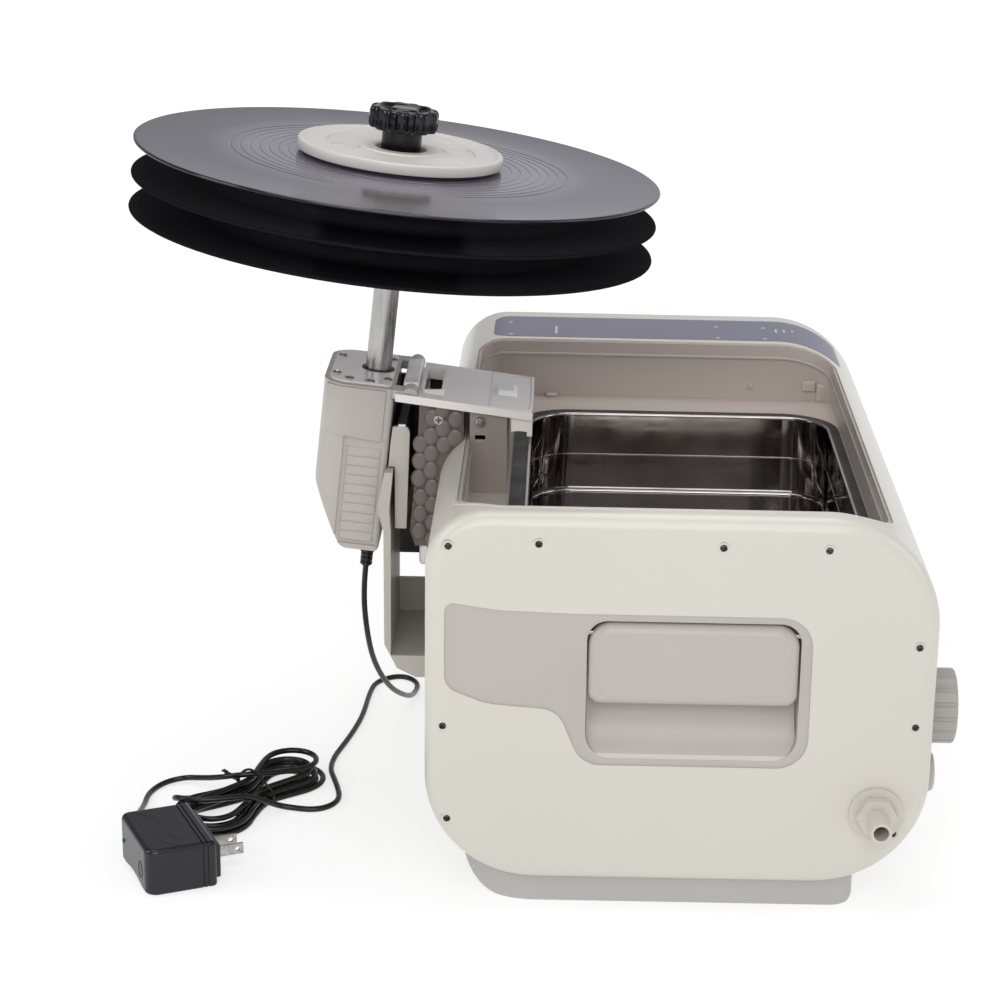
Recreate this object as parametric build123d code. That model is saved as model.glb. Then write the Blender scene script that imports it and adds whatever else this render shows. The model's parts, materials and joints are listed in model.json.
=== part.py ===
"""Record cleaning machine with a swing-up motorised record rack.

Millimetres.  Origin: centre of the footprint on the floor, +X to the right
hand side, +Y towards the control end, +Z up.
"""
import math
import os

from build123d import *

os.makedirs("parts", exist_ok=True)

# ---------------------------------------------------------------- dimensions
W, L, H = 274.0, 460.0, 226.5          # body width, length, height
ZB = 16.0                              # underside of the body shell
R_TL, R_TR, R_BL, R_BR = 33.0, 62.0, 60.0, 62.0
WALL = 3.0
END_R = 9.0                            # rounding round the end covers
Y0, Y1 = -L / 2, L / 2
NEAR_D, FAR_D = 25.0, 84.0             # depth of the near and far end covers
YN, YF = Y0 + NEAR_D, Y1 - FAR_D       # seams between covers and shell
SX, SZ = W / 2, H                      # outer corner of the section

# opening in the top and the lining inside it
OX0, OX1, OY0 = -SX + 15.0, SX - 24.0, Y0 + 14.0
OY1 = YF
OR_NEAR, OR_FAR = 28.0, 14.0
LIN = 2.5
LEDGE_Z = H - 37.5

# tank
TX0, TX1, TY0, TY1 = -SX + 51.0, SX - 34.0, Y0 + 30.0, YF - 51.0
TANK_R, TANK_T, TANK_FLOOR = 28.0, 1.2, LEDGE_Z - 85.0
TANK_STEP_Z, TANK_STEP = LEDGE_Z - 48.0, 1.5

# rack: hinge line, lean at rest, width
HX, HZ = -W / 2 - 17.0, H + 20.5
LEAN = 5.8                             # degrees, top leaning over the tank
RY0, RY1 = -77.0, 3.0
RYC = (RY0 + RY1) / 2
PIN_R, KNUCKLE_R = 2.0, 4.5
SHAFT_U = -21.3                        # spindle line, left of the hinge
BOX_U0, BOX_U1, BOX_W0, BOX_W1 = -50.5, -9.0, -96.0, 2.5

# records
REC_R, REC_HOLE_R, REC_LABEL_R = 150.8, 3.62, 50.0
REC_T_LABEL, REC_T_RIM, REC_T_GROOVE = 2.0, 1.9, 1.4
REC_SPACING = 19.7
REC_W_TOP = 127.0                      # middle of the top record
CLAMP_R, CLAMP_T = 59.0, 6.5
KNOB_R, KNOB_T = 20.0, 12.5

# running fits
FIT = 0.05
SIN, COS = math.sin(math.radians(LEAN)), math.cos(math.radians(LEAN))


# ------------------------------------------------------------------ helpers
def box(x0, x1, y0, y1, z0, z1):
    return Pos((x0 + x1) / 2, (y0 + y1) / 2, (z0 + z1) / 2) * Box(
        x1 - x0, y1 - y0, z1 - z0)


def cyl_z(r, x, y, z0, z1):
    return Pos(x, y, (z0 + z1) / 2) * Cylinder(r, z1 - z0)


def cyl_y(r, x, z, y0, y1):
    return Pos(x, (y0 + y1) / 2, z) * Rot(90, 0, 0) * Cylinder(r, y1 - y0)


def cyl_x(r, y, z, x0, x1):
    return Pos((x0 + x1) / 2, y, z) * Rot(0, 90, 0) * Cylinder(r, x1 - x0)


def rounded(points, radii):
    """Closed polygon with its own radius at each corner."""
    face = make_face(Polyline(*points, close=True))
    for point, radius in zip(points, radii):
        if radius > 0:
            corner = face.vertices().sort_by_distance(
                Vector(point[0], point[1], 0))[0]
            face = fillet(corner, radius)
    return face


def along_y(sketch, y0, y1):
    """Sketch read as X,Z and pulled from y0 to y1."""
    return Pos(0, y0, 0) * extrude(Plane.XZ * sketch, amount=-(y1 - y0))


def up(sketch, z0, z1):
    return Pos(0, 0, z0) * extrude(sketch, amount=z1 - z0)


def section(off=0.0):
    return rounded(
        [(-W / 2 - off, ZB - off), (W / 2 + off, ZB - off),
         (W / 2 + off, H + off), (-W / 2 - off, H + off)],
        [R_BL + off, R_BR + off, R_TR + off, R_TL + off])


def opening(inset=0.0):
    near, far = OR_NEAR - inset, OR_FAR - inset
    return rounded(
        [(OX0 + inset, OY0 + inset), (OX1 - inset, OY0 + inset),
         (OX1 - inset, OY1 - inset), (OX0 + inset, OY1 - inset)],
        [near, near, far, far])


def tank_plan(grow=0.0):
    r = TANK_R + grow
    return rounded([(TX0 - grow, TY0 - grow), (TX1 + grow, TY0 - grow),
                    (TX1 + grow, TY1 + grow), (TX0 - grow, TY1 + grow)],
                   [r] * 4)


def head(shape):
    """Rack coordinates (u across, y, w up the spindle) to the world."""
    return Pos(HX, 0, HZ) * Rot(0, LEAN, 0) * shape


def world_of(u, y, w):
    return (HX + u * COS + w * SIN, y, HZ - u * SIN + w * COS)


def save(name, shape):
    if isinstance(shape, (list, tuple)):
        shape = Compound(children=list(shape))
    export_step(shape, f"parts/{name}.step")
    print(name, "%.1f mm3" % sum(s.volume for s in shape.solids()),
          "bodies", len(shape.solids()))


# ------------------------------------------------------------------- casing
SCREWS_NEAR = [(-SX + 12.5, SZ - 18.0), (-SX + 60.0, SZ - 16.0), (19.8, SZ - 16.2),
               (75.4, SZ - 16.5), (SX - 11.0, SZ - 69.9), (SX - 10.5, 110.7),
               (-SX + 10.0, 106.6), (-SX + 12.5, 52.5), (SX - 19.0, 48.2)]
SCREWS_FAR = [(-SX + 22.0, SZ - 26.5), (-40.0, SZ - 14.5), (40.0, SZ - 14.5),
              (-SX + 10.0, 130.0), (SX - 10.0, 130.0), (-SX + 17.0, 52.0),
              (SX - 19.0, 50.0)]
SCREW_HEAD_R, SCREW_HOLE_R, SCREW_SHANK_R = 2.9, 3.2, 1.5
HEAD_DEPTH = 1.5

# grip, frame and pocket (X, Z on the cover)
PX0, PX1, PZ0, PZ1 = -50.6, 63.3, 89.5, 168.0
FRAME = 6.0
POCKET_BACK = 24.0
GRIP_Z0, GRIP_PIVOT_Z, GRIP_TOP = 121.0, 160.5, 6.5
GRIP_T, GRIP_ROUND = 8.0, 6.0
POCKET_TOP_R = 11.0                    # lets the rounded grip swing out
PIVOT_BACK = 4.0                       # grip pivot behind the cover face
BAND_SET = 0.8                         # insert sits this far below the face

# drain on the near cover
DRAIN_X, DRAIN_Z = SX - 28.9, 60.5
KNOB_Y, KNOB_Z, DKNOB_R, DKNOB_OUT = Y0 + 50.0, 104.0, 21.0, 17.0


def band_outline():
    x0, x1 = PX0 - FRAME, PX1 + FRAME
    z0, z1 = PZ0 - FRAME + 2, PZ1 + FRAME - 2
    return rounded(
        [(-SX + 10.6, 177.4), (-SX + 39.0, 173.2), (x0, z1), (x1, z1), (x1, z0),
         (x0 + 4, z0), (x0 - 9, 117.0), (-SX + 33.0, 120.0), (-SX + 10.6, 129.0)],
        [5.0, 60.0, 60.0, 17.0, 17.0, 16.0, 14.0, 40.0, 10.0])


def frame_outline():
    x0, x1 = PX0 - FRAME, PX1 + FRAME
    z0, z1 = PZ0 - FRAME + 2, PZ1 + FRAME - 2
    return rounded([(x0, z0), (x1, z0), (x1, z1), (x0, z1)], [17.0] * 4)


def pocket_outline(grow=0.0):
    return rounded([(PX0 - grow, PZ0 - grow), (PX1 + grow, PZ0 - grow),
                    (PX1 + grow, PZ1 + grow), (PX0 - grow, PZ1 + grow)],
                   [14.0 + grow] * 2 + [POCKET_TOP_R + grow] * 2)


def turned(shape):
    """Near-end feature turned round to the far end."""
    return Rot(0, 0, 180) * shape


def cup(y_face, y_open, radius):
    """Solid of a cover: section pulled from face to seam, face rounded."""
    lo, hi = min(y_face, y_open), max(y_face, y_open)
    outer = along_y(section(0), lo, hi)
    outer = fillet(outer.edges().filter_by_position(
        Axis.Y, y_face - 0.01, y_face + 0.01), radius)
    step = WALL if y_face < y_open else -WALL
    inner = along_y(section(-WALL), min(y_face + step, y_open),
                    max(y_face + step, y_open))
    inner = fillet(inner.edges().filter_by_position(
        Axis.Y, y_face + step - 0.01, y_face + step + 0.01), radius - WALL)
    return outer - inner


def screw_hole(x, z, sign):
    face = sign * L / 2
    a, b = sorted((face + sign, face - sign * HEAD_DEPTH))
    c, d = sorted((face, face - sign * (WALL + 1)))
    return cyl_y(SCREW_HOLE_R, x, z, a, b) + cyl_y(
        SCREW_SHANK_R + 0.2, x, z, c, d)


def screw(x, z, sign):
    face = sign * L / 2
    a, b = sorted((face - sign * HEAD_DEPTH, face - sign * 0.3))
    c, d = sorted((face - sign * HEAD_DEPTH, face - sign * 9))
    return cyl_y(SCREW_HEAD_R, x, z, a, b) + cyl_y(SCREW_SHANK_R, x, z, c, d)


def make_centre_shell():
    shell = along_y(section(0), YN, YF) - along_y(section(-WALL), YN, YF)
    shell -= up(opening(), 120, H + 5)
    shell -= cyl_x(SPINDLE_HOLE_R, KNOB_Y, KNOB_Z, W / 2 - 6, W / 2 + 2)
    shell -= cyl_x(CAP_R, CAP_Y, CAP_Z, W / 2 - 14, W / 2 + 2)
    return shell


def make_near_cover():
    cover = cup(Y0, YN, END_R)
    cover -= up(opening(), 120, H + 5)
    cover -= along_y(band_outline(), Y0 - 1, Y0 + WALL + 0.01)
    cover -= cyl_y(9.0, DRAIN_X, DRAIN_Z, Y0 - 1, Y0 + WALL + 1)
    for x, z in SCREWS_NEAR:
        cover -= screw_hole(x, z, -1)
    return cover


def make_far_cover():
    cover = cup(Y1, YF, END_R)
    cover -= turned(along_y(frame_outline(), Y0 - 1, Y0 + WALL + 0.01))
    cover -= panel_space(0.0, 1.0, 2.0)
    cover -= box(INLET_X - 14, INLET_X + 14, Y1 - 5, Y1 + 1,
                 INLET_Z - 10.5, INLET_Z + 10.5)
    for x, z in SCREWS_FAR:
        cover -= screw_hole(x, z, 1)
    return cover


PANEL_Y0, PANEL_Y1 = YF + 7.0, Y1 - 22.0
INLET_X, INLET_Z = SX - 57.0, 46.0
SPINDLE_HOLE_R = 3.4
CAP_Y, CAP_Z, CAP_R, CAP_OUT = KNOB_Y, 64.0, 11.0, 8.0


def panel_space(side, depth, proud):
    """Strip over the top of the far cover, wrapping down its +X shoulder."""
    ring = along_y(section(proud), PANEL_Y0, PANEL_Y1) - along_y(
        section(-depth), PANEL_Y0, PANEL_Y1)
    x0, x1 = -SX + 24 + side, SX - 19 - side
    plan = rounded([(x0, PANEL_Y0), (x1, PANEL_Y0),
                    (x1, PANEL_Y1), (x0, PANEL_Y1)],
                   [11.0, 3.0, 3.0, 11.0])
    return ring & up(plan, H - 36, H + 10)


def make_control_panel():
    return panel_space(0.0, 1.0, 0.2)


def make_cover_screws():
    return [screw(x, z, -1) for x, z in SCREWS_NEAR] + [
        screw(x, z, 1) for x, z in SCREWS_FAR]


BASE_X0, BASE_X1 = -SX + 19.0, SX - 37.0   # plinth, set in under the body


def make_plinth():
    plan = rounded([(BASE_X0, Y0 + 10), (BASE_X1, Y0 + 10), (BASE_X1, Y1 - 10),
                    (BASE_X0, Y1 - 10)], [42.0, 14.0, 14.0, 42.0])
    side = rounded([(BASE_X0, 0), (BASE_X1, 0), (BASE_X1, 60), (BASE_X0, 60)],
                   [24.0, 5.0, 0, 0])
    tub = up(plan, 0, 34) & along_y(side, Y0, Y1)
    tub -= along_y(section(0), Y0 - 1, Y1 + 1)
    tub -= box(BASE_X0 + 18, BASE_X1 - 14, Y0 + 40, Y1 - 40, 3, 40)
    for pad in make_feet():
        tub -= pad
    return tub


def make_feet():
    """Rubber pads let into the plinth flush with its underside."""
    return [cyl_z(9.0, x, y, 0, 2) for x in (-SX + 59, SX - 59)
            for y in (Y0 + 30, Y1 - 30)]


def make_deck_lining():
    """Wall of the deck well, up to just under the rounded top."""
    top = along_y(section(-0.7), Y0, Y1)
    return up(opening(0) - opening(LIN), LEDGE_Z - 2.5, H + 5) & top


def make_deck_ledge():
    return up(opening(LIN) - tank_plan(TANK_T + 0.5),
              LEDGE_Z - 2.5, LEDGE_Z)


def make_tank():
    outer = up(tank_plan(TANK_T), TANK_FLOOR - TANK_T, LEDGE_Z)
    outer = fillet(outer.edges().filter_by_position(
        Axis.Z, TANK_FLOOR - TANK_T - 0.01, TANK_FLOOR - TANK_T + 0.01), 13)
    upper = up(tank_plan(0), TANK_STEP_Z, LEDGE_Z + 1)
    lower = up(tank_plan(-TANK_STEP), TANK_FLOOR, TANK_STEP_Z)
    lower = fillet(lower.edges().filter_by_position(
        Axis.Z, TANK_FLOOR - 0.01, TANK_FLOOR + 0.01), 11)
    return outer - upper - lower


def make_tank_flange():
    """Flat rim of the tank, lying on the deck ledge."""
    plan = rounded([(TX0 - 10, TY0 - 10), (TX1 + 6.5, TY0 - 10),
                    (TX1 + 6.5, TY1 + 11), (TX0 - 10, TY1 + 11)],
                   [TANK_R + 8] * 4)
    return up(plan - tank_plan(0), LEDGE_Z, LEDGE_Z + TANK_T)


def make_transducers():
    z1 = TANK_FLOOR - TANK_T
    x, middle = (TX0 + TX1) / 2, (TY0 + TY1) / 2
    return [cyl_z(22.5, x, y, z1 - 10, z1) + cyl_z(16, x, y, z1 - 34, z1 - 10)
            for y in (middle - 88, middle, middle + 88)]


def make_heater():
    x1 = TX0 - TANK_T
    return box(x1 - 2, x1, TY0 + 70, TY1 - 55, TANK_FLOOR + 26,
               TANK_FLOOR + 66)


BOARD_Y0, BOARD_Y1, BOARD_Z = Y1 - 210.0, Y1 - 100.0, ZB + 11.0


def make_board():
    return box(-60, 60, BOARD_Y0, BOARD_Y1, BOARD_Z, BOARD_Z + 1.6)


def make_standoffs():
    return [cyl_z(3.5, x, y, ZB + WALL, BOARD_Z) for x in (-54, 54)
            for y in (BOARD_Y0 + 6, BOARD_Y1 - 6)]


# ------------------------------------------------------------------ handles
def insert_solid(outline):
    plate = along_y(outline, Y0 + BAND_SET, Y0 + WALL)
    tub = along_y(pocket_outline(2.5), Y0 + BAND_SET, Y0 + POCKET_BACK)
    tub = tub + plate
    tub -= along_y(pocket_outline(), Y0 - 1, Y0 + POCKET_BACK - 2.5)
    tub -= cyl_x(1.6, Y0 + PIVOT_BACK, GRIP_PIVOT_Z, PX0 - 4, PX1 + 4)
    return tub


def make_handle_insert_near():
    return insert_solid(band_outline())


def make_handle_insert_far():
    return turned(insert_solid(frame_outline()))


def grip_solid():
    x0, x1 = PX0 + 0.8, PX1 - 0.8
    yp = Y0 + PIVOT_BACK
    face = yp - GRIP_TOP
    outline = rounded([(x0, GRIP_Z0), (x1, GRIP_Z0),
                       (x1, GRIP_PIVOT_Z + GRIP_TOP),
                       (x0, GRIP_PIVOT_Z + GRIP_TOP)],
                      [7.0, 7.0, 13.0, 13.0])
    grip = along_y(outline, face, face + GRIP_T)
    grip = fillet(grip.edges().filter_by_position(
        Axis.Y, face - 0.01, face + 0.01), GRIP_ROUND)
    grip -= cyl_x(1.6 + FIT, yp, GRIP_PIVOT_Z, x0 - 1, x0 + 14)
    grip -= cyl_x(1.6 + FIT, yp, GRIP_PIVOT_Z, x1 - 14, x1 + 1)
    return grip


def make_grip_near():
    return grip_solid()


def make_grip_far():
    return turned(grip_solid())


def pins_solid():
    yp = Y0 + PIVOT_BACK
    return [cyl_x(1.6, yp, GRIP_PIVOT_Z, PX0 - 2.5, PX0 + 13),
            cyl_x(1.6, yp, GRIP_PIVOT_Z, PX1 - 13, PX1 + 2.5)]


def make_handle_pins():
    return pins_solid() + [turned(p) for p in pins_solid()]


# -------------------------------------------------------------------- drain
SPIGOT_R, SHANK_R, SPOUT_BORE_R = 5.75, 6.6, 4.2


def make_drain_flange():
    ring = cyl_y(15.0, DRAIN_X, DRAIN_Z, Y0 - 2.0, Y0)
    sleeve = cyl_y(9.0, DRAIN_X, DRAIN_Z, Y0, Y0 + 8)
    return ring + sleeve - cyl_y(SHANK_R, DRAIN_X, DRAIN_Z, Y0 - 3, Y0 + 9)


def make_drain_nut():
    hexagon = RegularPolygon(11.5, 6)
    nut = along_y(Pos(DRAIN_X, DRAIN_Z) * hexagon, Y0 - 8, Y0 - 2)
    return nut - cyl_y(SHANK_R, DRAIN_X, DRAIN_Z, Y0 - 9, Y0 - 1)


def make_drain_spout():
    spigot = cyl_y(SPIGOT_R, DRAIN_X, DRAIN_Z, Y0 - 27, Y0 - 8)
    shank = cyl_y(SHANK_R, DRAIN_X, DRAIN_Z, Y0 - 8, Y0 + 10)
    collar = cyl_y(8.0, DRAIN_X, DRAIN_Z, Y0 + 8, Y0 + 12)
    return spigot + shank + collar - cyl_y(
        SPOUT_BORE_R, DRAIN_X, DRAIN_Z, Y0 - 28, Y0 + 13)


def make_valve_body():
    x0 = TX1 + TANK_T
    body = box(x0, x0 + 22, KNOB_Y - 13, KNOB_Y + 13, KNOB_Z - 14,
               KNOB_Z + 22)
    body -= cyl_x(SPINDLE_R + FIT, KNOB_Y, KNOB_Z, x0 + 6, x0 + 23)
    return body


SPINDLE_R = 3.0


def make_drain_pipe():
    x = TX1 + TANK_T + 11
    start = (x, KNOB_Y, KNOB_Z - 14)
    path = FilletPolyline(start, (x, KNOB_Y, DRAIN_Z),
                          (DRAIN_X, Y0 + 26, DRAIN_Z),
                          (DRAIN_X, Y0 + 12, DRAIN_Z), radius=8.0)
    ring = Plane(origin=start, z_dir=(0, 0, -1)) * Circle(5.5)
    return sweep(ring, path=path, transition=Transition.RIGHT)


def make_drain_knob():
    x0, x1 = W / 2 + 0.25, W / 2 + DKNOB_OUT
    body = cyl_x(DKNOB_R, KNOB_Y, KNOB_Z, x0, x1)
    body = fillet(body.edges().filter_by_position(
        Axis.X, x1 - 0.01, x1 + 0.01), 2.0)
    for i in range(16):
        a = math.radians(i * 22.5)
        body -= cyl_x(1.7, KNOB_Y + (DKNOB_R + 0.7) * math.cos(a),
                      KNOB_Z + (DKNOB_R + 0.7) * math.sin(a), x0 + 3, x1 + 1)
    stem = cyl_x(SPINDLE_R, KNOB_Y, KNOB_Z, TX1 + TANK_T + 6.2, x0)
    return body + stem


def make_side_cap():
    cap = cyl_x(CAP_R, CAP_Y, CAP_Z, W / 2 - 10, W / 2 + CAP_OUT)
    return fillet(cap.edges().filter_by_position(
        Axis.X, W / 2 + CAP_OUT - 0.01, W / 2 + CAP_OUT + 0.01), 2.0)


def make_power_inlet():
    rim = box(INLET_X - 17, INLET_X + 17, Y1, Y1 + 2, INLET_Z - 13,
              INLET_Z + 13)
    body = box(INLET_X - 14, INLET_X + 14, Y1 - 20, Y1, INLET_Z - 10.5,
               INLET_Z + 10.5)
    well = box(INLET_X - 12, INLET_X + 12, Y1 - 15, Y1 + 3, INLET_Z - 8,
               INLET_Z + 8)
    return rim + body - well


def make_inlet_pins():
    return [box(INLET_X + dx - 1, INLET_X + dx + 1, Y1 - 15, Y1 - 5,
                INLET_Z + dz - 2, INLET_Z + dz + 2)
            for dx, dz in ((-7, -2), (0, 3), (7, -2))]


# ---------------------------------------------------------- rest and hanger
ARM_Y0, ARM_Y1 = RY0 - 9.0, RY1 - 7.0
ARM_X = -SX - 27.6                     # inner face of the upright


def make_rest_arm():
    top = HZ - 43.5                    # upper end, beside the motor box
    foot = [(-SX, 77.5), (-SX - 13, 77.5), (-SX - 24, 83), (-SX - 31.5, 98)]
    back = [(ARM_X, top - 35.5), (ARM_X, 91), (-SX, 91)]
    rim = foot + [(ARM_X - 4.2, top - 35.5), (ARM_X - 8, top - 22),
                  (ARM_X - 3.6, top), (ARM_X + 0.2, top),
                  (ARM_X - 3.8, top - 22.5)] + back
    blade = foot + [(ARM_X - 4.2, top - 35.5), (ARM_X - 4.8, top - 22),
                    (ARM_X - 2.6, top), (ARM_X + 1.2, top),
                    (ARM_X - 0.8, top - 22.5)] + back
    arm = along_y(make_face(Polyline(*blade, close=True)), ARM_Y0, ARM_Y1)
    arm += along_y(make_face(Polyline(*rim, close=True)), ARM_Y0, RY0 - 0.3)
    arm += box(ARM_X, -SX, ARM_Y1 - 3, ARM_Y1, 91, 112)
    return arm


PLATE_X0, PLATE_X1, PLATE_T = HX + 5.0, OX0 + 38.5, 4.0
PLATE_Z0, PLATE_Z1 = HZ - 0.4, HZ - 8.6  # top surface at its two ends
LIP_Z = HZ - 22.5                      # lower edge of the lip at the tank
INNER_X0, INNER_X1 = OX0 + LIN, OX0 + 24.0


def plate_line(x):
    return PLATE_Z0 + (PLATE_Z1 - PLATE_Z0) * (x - PLATE_X0) / (
        PLATE_X1 - PLATE_X0)


def make_hanger_plate():
    side = Polyline(
        (PLATE_X0, PLATE_Z0), (PLATE_X1, PLATE_Z1), (PLATE_X1, LIP_Z),
        (PLATE_X1 - 3, LIP_Z), (PLATE_X1 - 3, plate_line(PLATE_X1 - 3)
                                - PLATE_T),
        (PLATE_X0, PLATE_Z0 - PLATE_T), close=True)
    plate = along_y(make_face(side), RY0, RY1)
    # rim along the near edge, carried on past the end of the hinge
    for x0, y1 in ((HX - RIM_PAST, RY0 - RIM_GAP), (PLATE_X0, RY0 + 0.5)):
        plate += along_y(make_face(Polyline(
            (x0, plate_line(x0) + 0.6),
            (PLATE_X1, plate_line(PLATE_X1) + 0.6),
            (PLATE_X1, plate_line(PLATE_X1) - PLATE_T),
            (x0, plate_line(x0) - PLATE_T), close=True)), RY0 - RIM_T, y1)
    # near gusset at the tank end, hollowed underneath
    x = PLATE_X1 - 12
    gus = along_y(make_face(Polyline(
        (x, plate_line(x) - 1), (PLATE_X1, plate_line(PLATE_X1) - 1),
        (PLATE_X1, LIP_Z), (x, LIP_Z + 2), close=True)), RY0, RY0 + 3)
    gus -= cyl_y(22.0, x + 4.5, LIP_Z - 19, RY0 - 1, RY0 + 4)
    plate += gus
    # fixed knuckle of the rack hinge
    plate += cyl_y(KNUCKLE_R, HX, HZ, RY0 + 12, RY1 - 12)
    plate += box(HX, PLATE_X0 + 1, RY0 + 12, RY1 - 12, HZ - KNUCKLE_R,
                 HZ - 0.5)
    plate -= cyl_y(PIN_R, HX, HZ, RY0, RY1)
    # slot with a raised rim, shallow tray at the tank end
    x0, x1, y0, y1 = HX + 6, HX + 19.5, RY0 + 10.5, RY1 - 19.5
    rim = up(rounded([(x0, y0), (x1, y0), (x1, y1), (x0, y1)], [2.5] * 4),
             HZ - 3.5, HZ + 1.2)
    plate += rim
    x0, x1, y0, y1 = x0 + 1.7, x1 - 1.9, y0 + 2, y1 - 2
    plate -= up(rounded([(x0, y0), (x1, y0), (x1, y1), (x0, y1)],
                        [1.5] * 4), HZ - 17, HZ + 5)
    # web beside the motor box, hung from the plate by a rib at the back
    x0, y0, y1 = HX - WEB_PAST, RY1 - 10, RY1 - 6
    plate += box(x0, x0 + WEB_T, RY0, y1, WEB_Z0, HZ - 17)
    plate += box(x0, PLATE_X0 + 3, y0, y1, HZ - 21, HZ - 17)
    plate += box(PLATE_X0, PLATE_X0 + 3, y0, y1, HZ - 21, HZ - 3)
    return plate


RIM_T, RIM_GAP, RIM_PAST = 2.2, 0.3, 8.4
WEB_Z0, WEB_T, WEB_PAST = HZ - 80.0, 4.0, 6.5
BACK_Z0, BACK_PAST, BACK_GAP = HZ - 122.0, 17.0, 0.3


def make_hanger_back():
    """Rear wall of the rack carrier and its wing behind the motor box."""
    wall = box(PLATE_X0, INNER_X0 - 4, RY1 - 4, RY1, BACK_Z0, HZ - 4.6)
    x0, x1 = PLATE_X0 - 3, PLATE_X1 + 3.5
    below = along_y(make_face(Polyline(
        (x0, plate_line(x0) - PLATE_T), (x1, plate_line(x1) - PLATE_T),
        (x1, BACK_Z0 - 5), (x0, BACK_Z0 - 5), close=True)),
        RY1 - 5, RY1 + 1)
    wall = wall & below
    wall -= along_y(section(0.4), Y0, Y1)
    wing = box(HX - BACK_PAST, PLATE_X0 + 2, RY1 + BACK_GAP,
               RY1 + BACK_GAP + 3, BACK_Z0, HZ - 8)
    return wall + wing + box(PLATE_X0, PLATE_X0 + 2, RY1 - 4,
                             RY1 + BACK_GAP + 3, BACK_Z0, HZ - 8)


def make_hanger_leg():
    """Inner leg that stands on the deck ledge beside the tank."""
    top = along_y(make_face(Polyline(
        (INNER_X0, LEDGE_Z - 9), (INNER_X1, LEDGE_Z - 9),
        (INNER_X1, plate_line(INNER_X1) - PLATE_T),
        (INNER_X0, plate_line(INNER_X0) - PLATE_T), close=True)),
        RY0 + 2, RY1)
    leg = box(INNER_X0, INNER_X1, RY0 + 2, RY1, LEDGE_Z, HZ) & top
    leg -= box(INNER_X0 + 2.5, INNER_X1 - 2.5, RY0 + 4.5, RY1 - 2.5,
               LEDGE_Z - 1, HZ + 3)
    leg -= box(INNER_X0 + 3, INNER_X0 + 9, RY0, RY0 + 5, HZ - 29, HZ - 23)
    return leg - cyl_y(1.5, INNER_X0 + 6, LEG_SCREW_Z, RY0, RY0 + 5)


LEG_SCREW_Z, PAD_SCREW_Z = HZ - 15.0, HZ - 14.0
PAD_SCREW_X = HX + 16.5


PAD_T = 8.5


def make_wall_pad():
    pad = along_y(make_face(Polyline(
        (HX + 38, HZ + 3), (HX + 5.8, HZ + 3), (HX + 4.6, HZ - 27),
        (HX, HZ - 82), (HX + 3, HZ - 91), (HX + 38, HZ - 91), close=True)),
        RY0 + 2, RY0 + 2 + PAD_T)
    x0, x1 = HX - 16, PLATE_X1 + 3.5
    under = along_y(make_face(Polyline(
        (x0, HZ - 147), (x1, HZ - 147), (x1, plate_line(x1) - PLATE_T),
        (x0, plate_line(x0) - PLATE_T), close=True)), RY0, RY1)
    pad = pad & under
    pad -= along_y(section(0.0), Y0, Y1)
    pad -= box(OX0 - 1, 0, RY0, RY1, HZ - 147, HZ + 13)
    return pad - cyl_y(1.5, PAD_SCREW_X, PAD_SCREW_Z, RY0, RY0 + 8)


def make_leg_screws():
    return [cyl_y(3.2, x, z, RY0, RY0 + 2) + cyl_y(1.5, x, z, RY0 + 2, y1)
            for x, z, y1 in ((INNER_X0 + 6, LEG_SCREW_Z, RY0 + 4.4),
                             (PAD_SCREW_X, PAD_SCREW_Z, RY0 + 8))]


def make_latch():
    x0, x1 = PLATE_X1 - 20.5, PLATE_X1 - 9.5
    return along_y(make_face(Polyline(
        (x0, plate_line(x0)), (x1, plate_line(x1)),
        (x1, plate_line(x1) + 1.2), (x1 - 2, plate_line(x1 - 2) + 3.2),
        (x0, plate_line(x0) + 2.6), close=True)), RYC - 10, RYC + 6)


def make_hinge_pin():
    return cyl_y(PIN_R, HX, HZ, RY0 + 0.5, RY1 - 0.5)


# --------------------------------------------------------------- swing head
def make_motor_housing():
    plan = rounded([(BOX_U0, RY0), (BOX_U1, RY0), (BOX_U1, RY1),
                    (BOX_U0, RY1)], [15.0, 3.0, 3.0, 15.0])
    side = rounded([(BOX_U0, BOX_W0 + 38), (BOX_U0 + 18.5, BOX_W0),
                    (BOX_U1, BOX_W0), (BOX_U1, BOX_W1), (BOX_U0, BOX_W1)],
                   [14.0, 8.0, 3.0, 0, 0])
    outer = up(plan, BOX_W0, BOX_W1) & along_y(side, RY0, RY1)
    outer -= box(BOX_U0 + 15, BOX_U1 - 2, RY0 - 1, RY0 + 1.5, BOX_W0 + 3,
                 -28)
    cavity = up(rounded([(BOX_U0 + 3, RY0 + 5), (BOX_U1 - 3, RY0 + 5),
                         (BOX_U1 - 3, RY1 - 3), (BOX_U0 + 3, RY1 - 3)],
                        [12.0, 1.0, 1.0, 12.0]), BOX_W0 + 22, BOX_W1 - 3.5)
    outer -= cavity
    outer -= box(-32, BOX_U1 - 3, RY0 + 5, RY1 - 3, BOX_W0 + 3,
                 BOX_W0 + 22)
    # window for the ribbed cover
    outer -= box(*VENT_U, RY0, RY0 + 6, *VENT_W)
    # spindle, jack and hinge ears
    outer -= cyl_z(4.6, SHAFT_U, RYC, BOX_W1 - 5, BOX_W1 + 1)
    outer -= cyl_z(4.5, JACK_U, RYC, BOX_W0 - 1, BOX_W0 + 5)
    for y0, y1 in ((RY0, RY0 + 11.7), (RY1 - 11.7, RY1)):
        ear = cyl_y(KNUCKLE_R, 0, 0, y0, y1) + box(
            BOX_U1 - 1, 0, y0, y1, -2.5, 2.5)
        outer += ear
    outer -= cyl_y(PIN_R + FIT, 0, 0, RY0 - 1, RY1 + 1)
    return head(outer)


VENT_U, VENT_W = (-33.0, -13.0), (-91.0, -34.0)
JACK_U = -17.0


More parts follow.
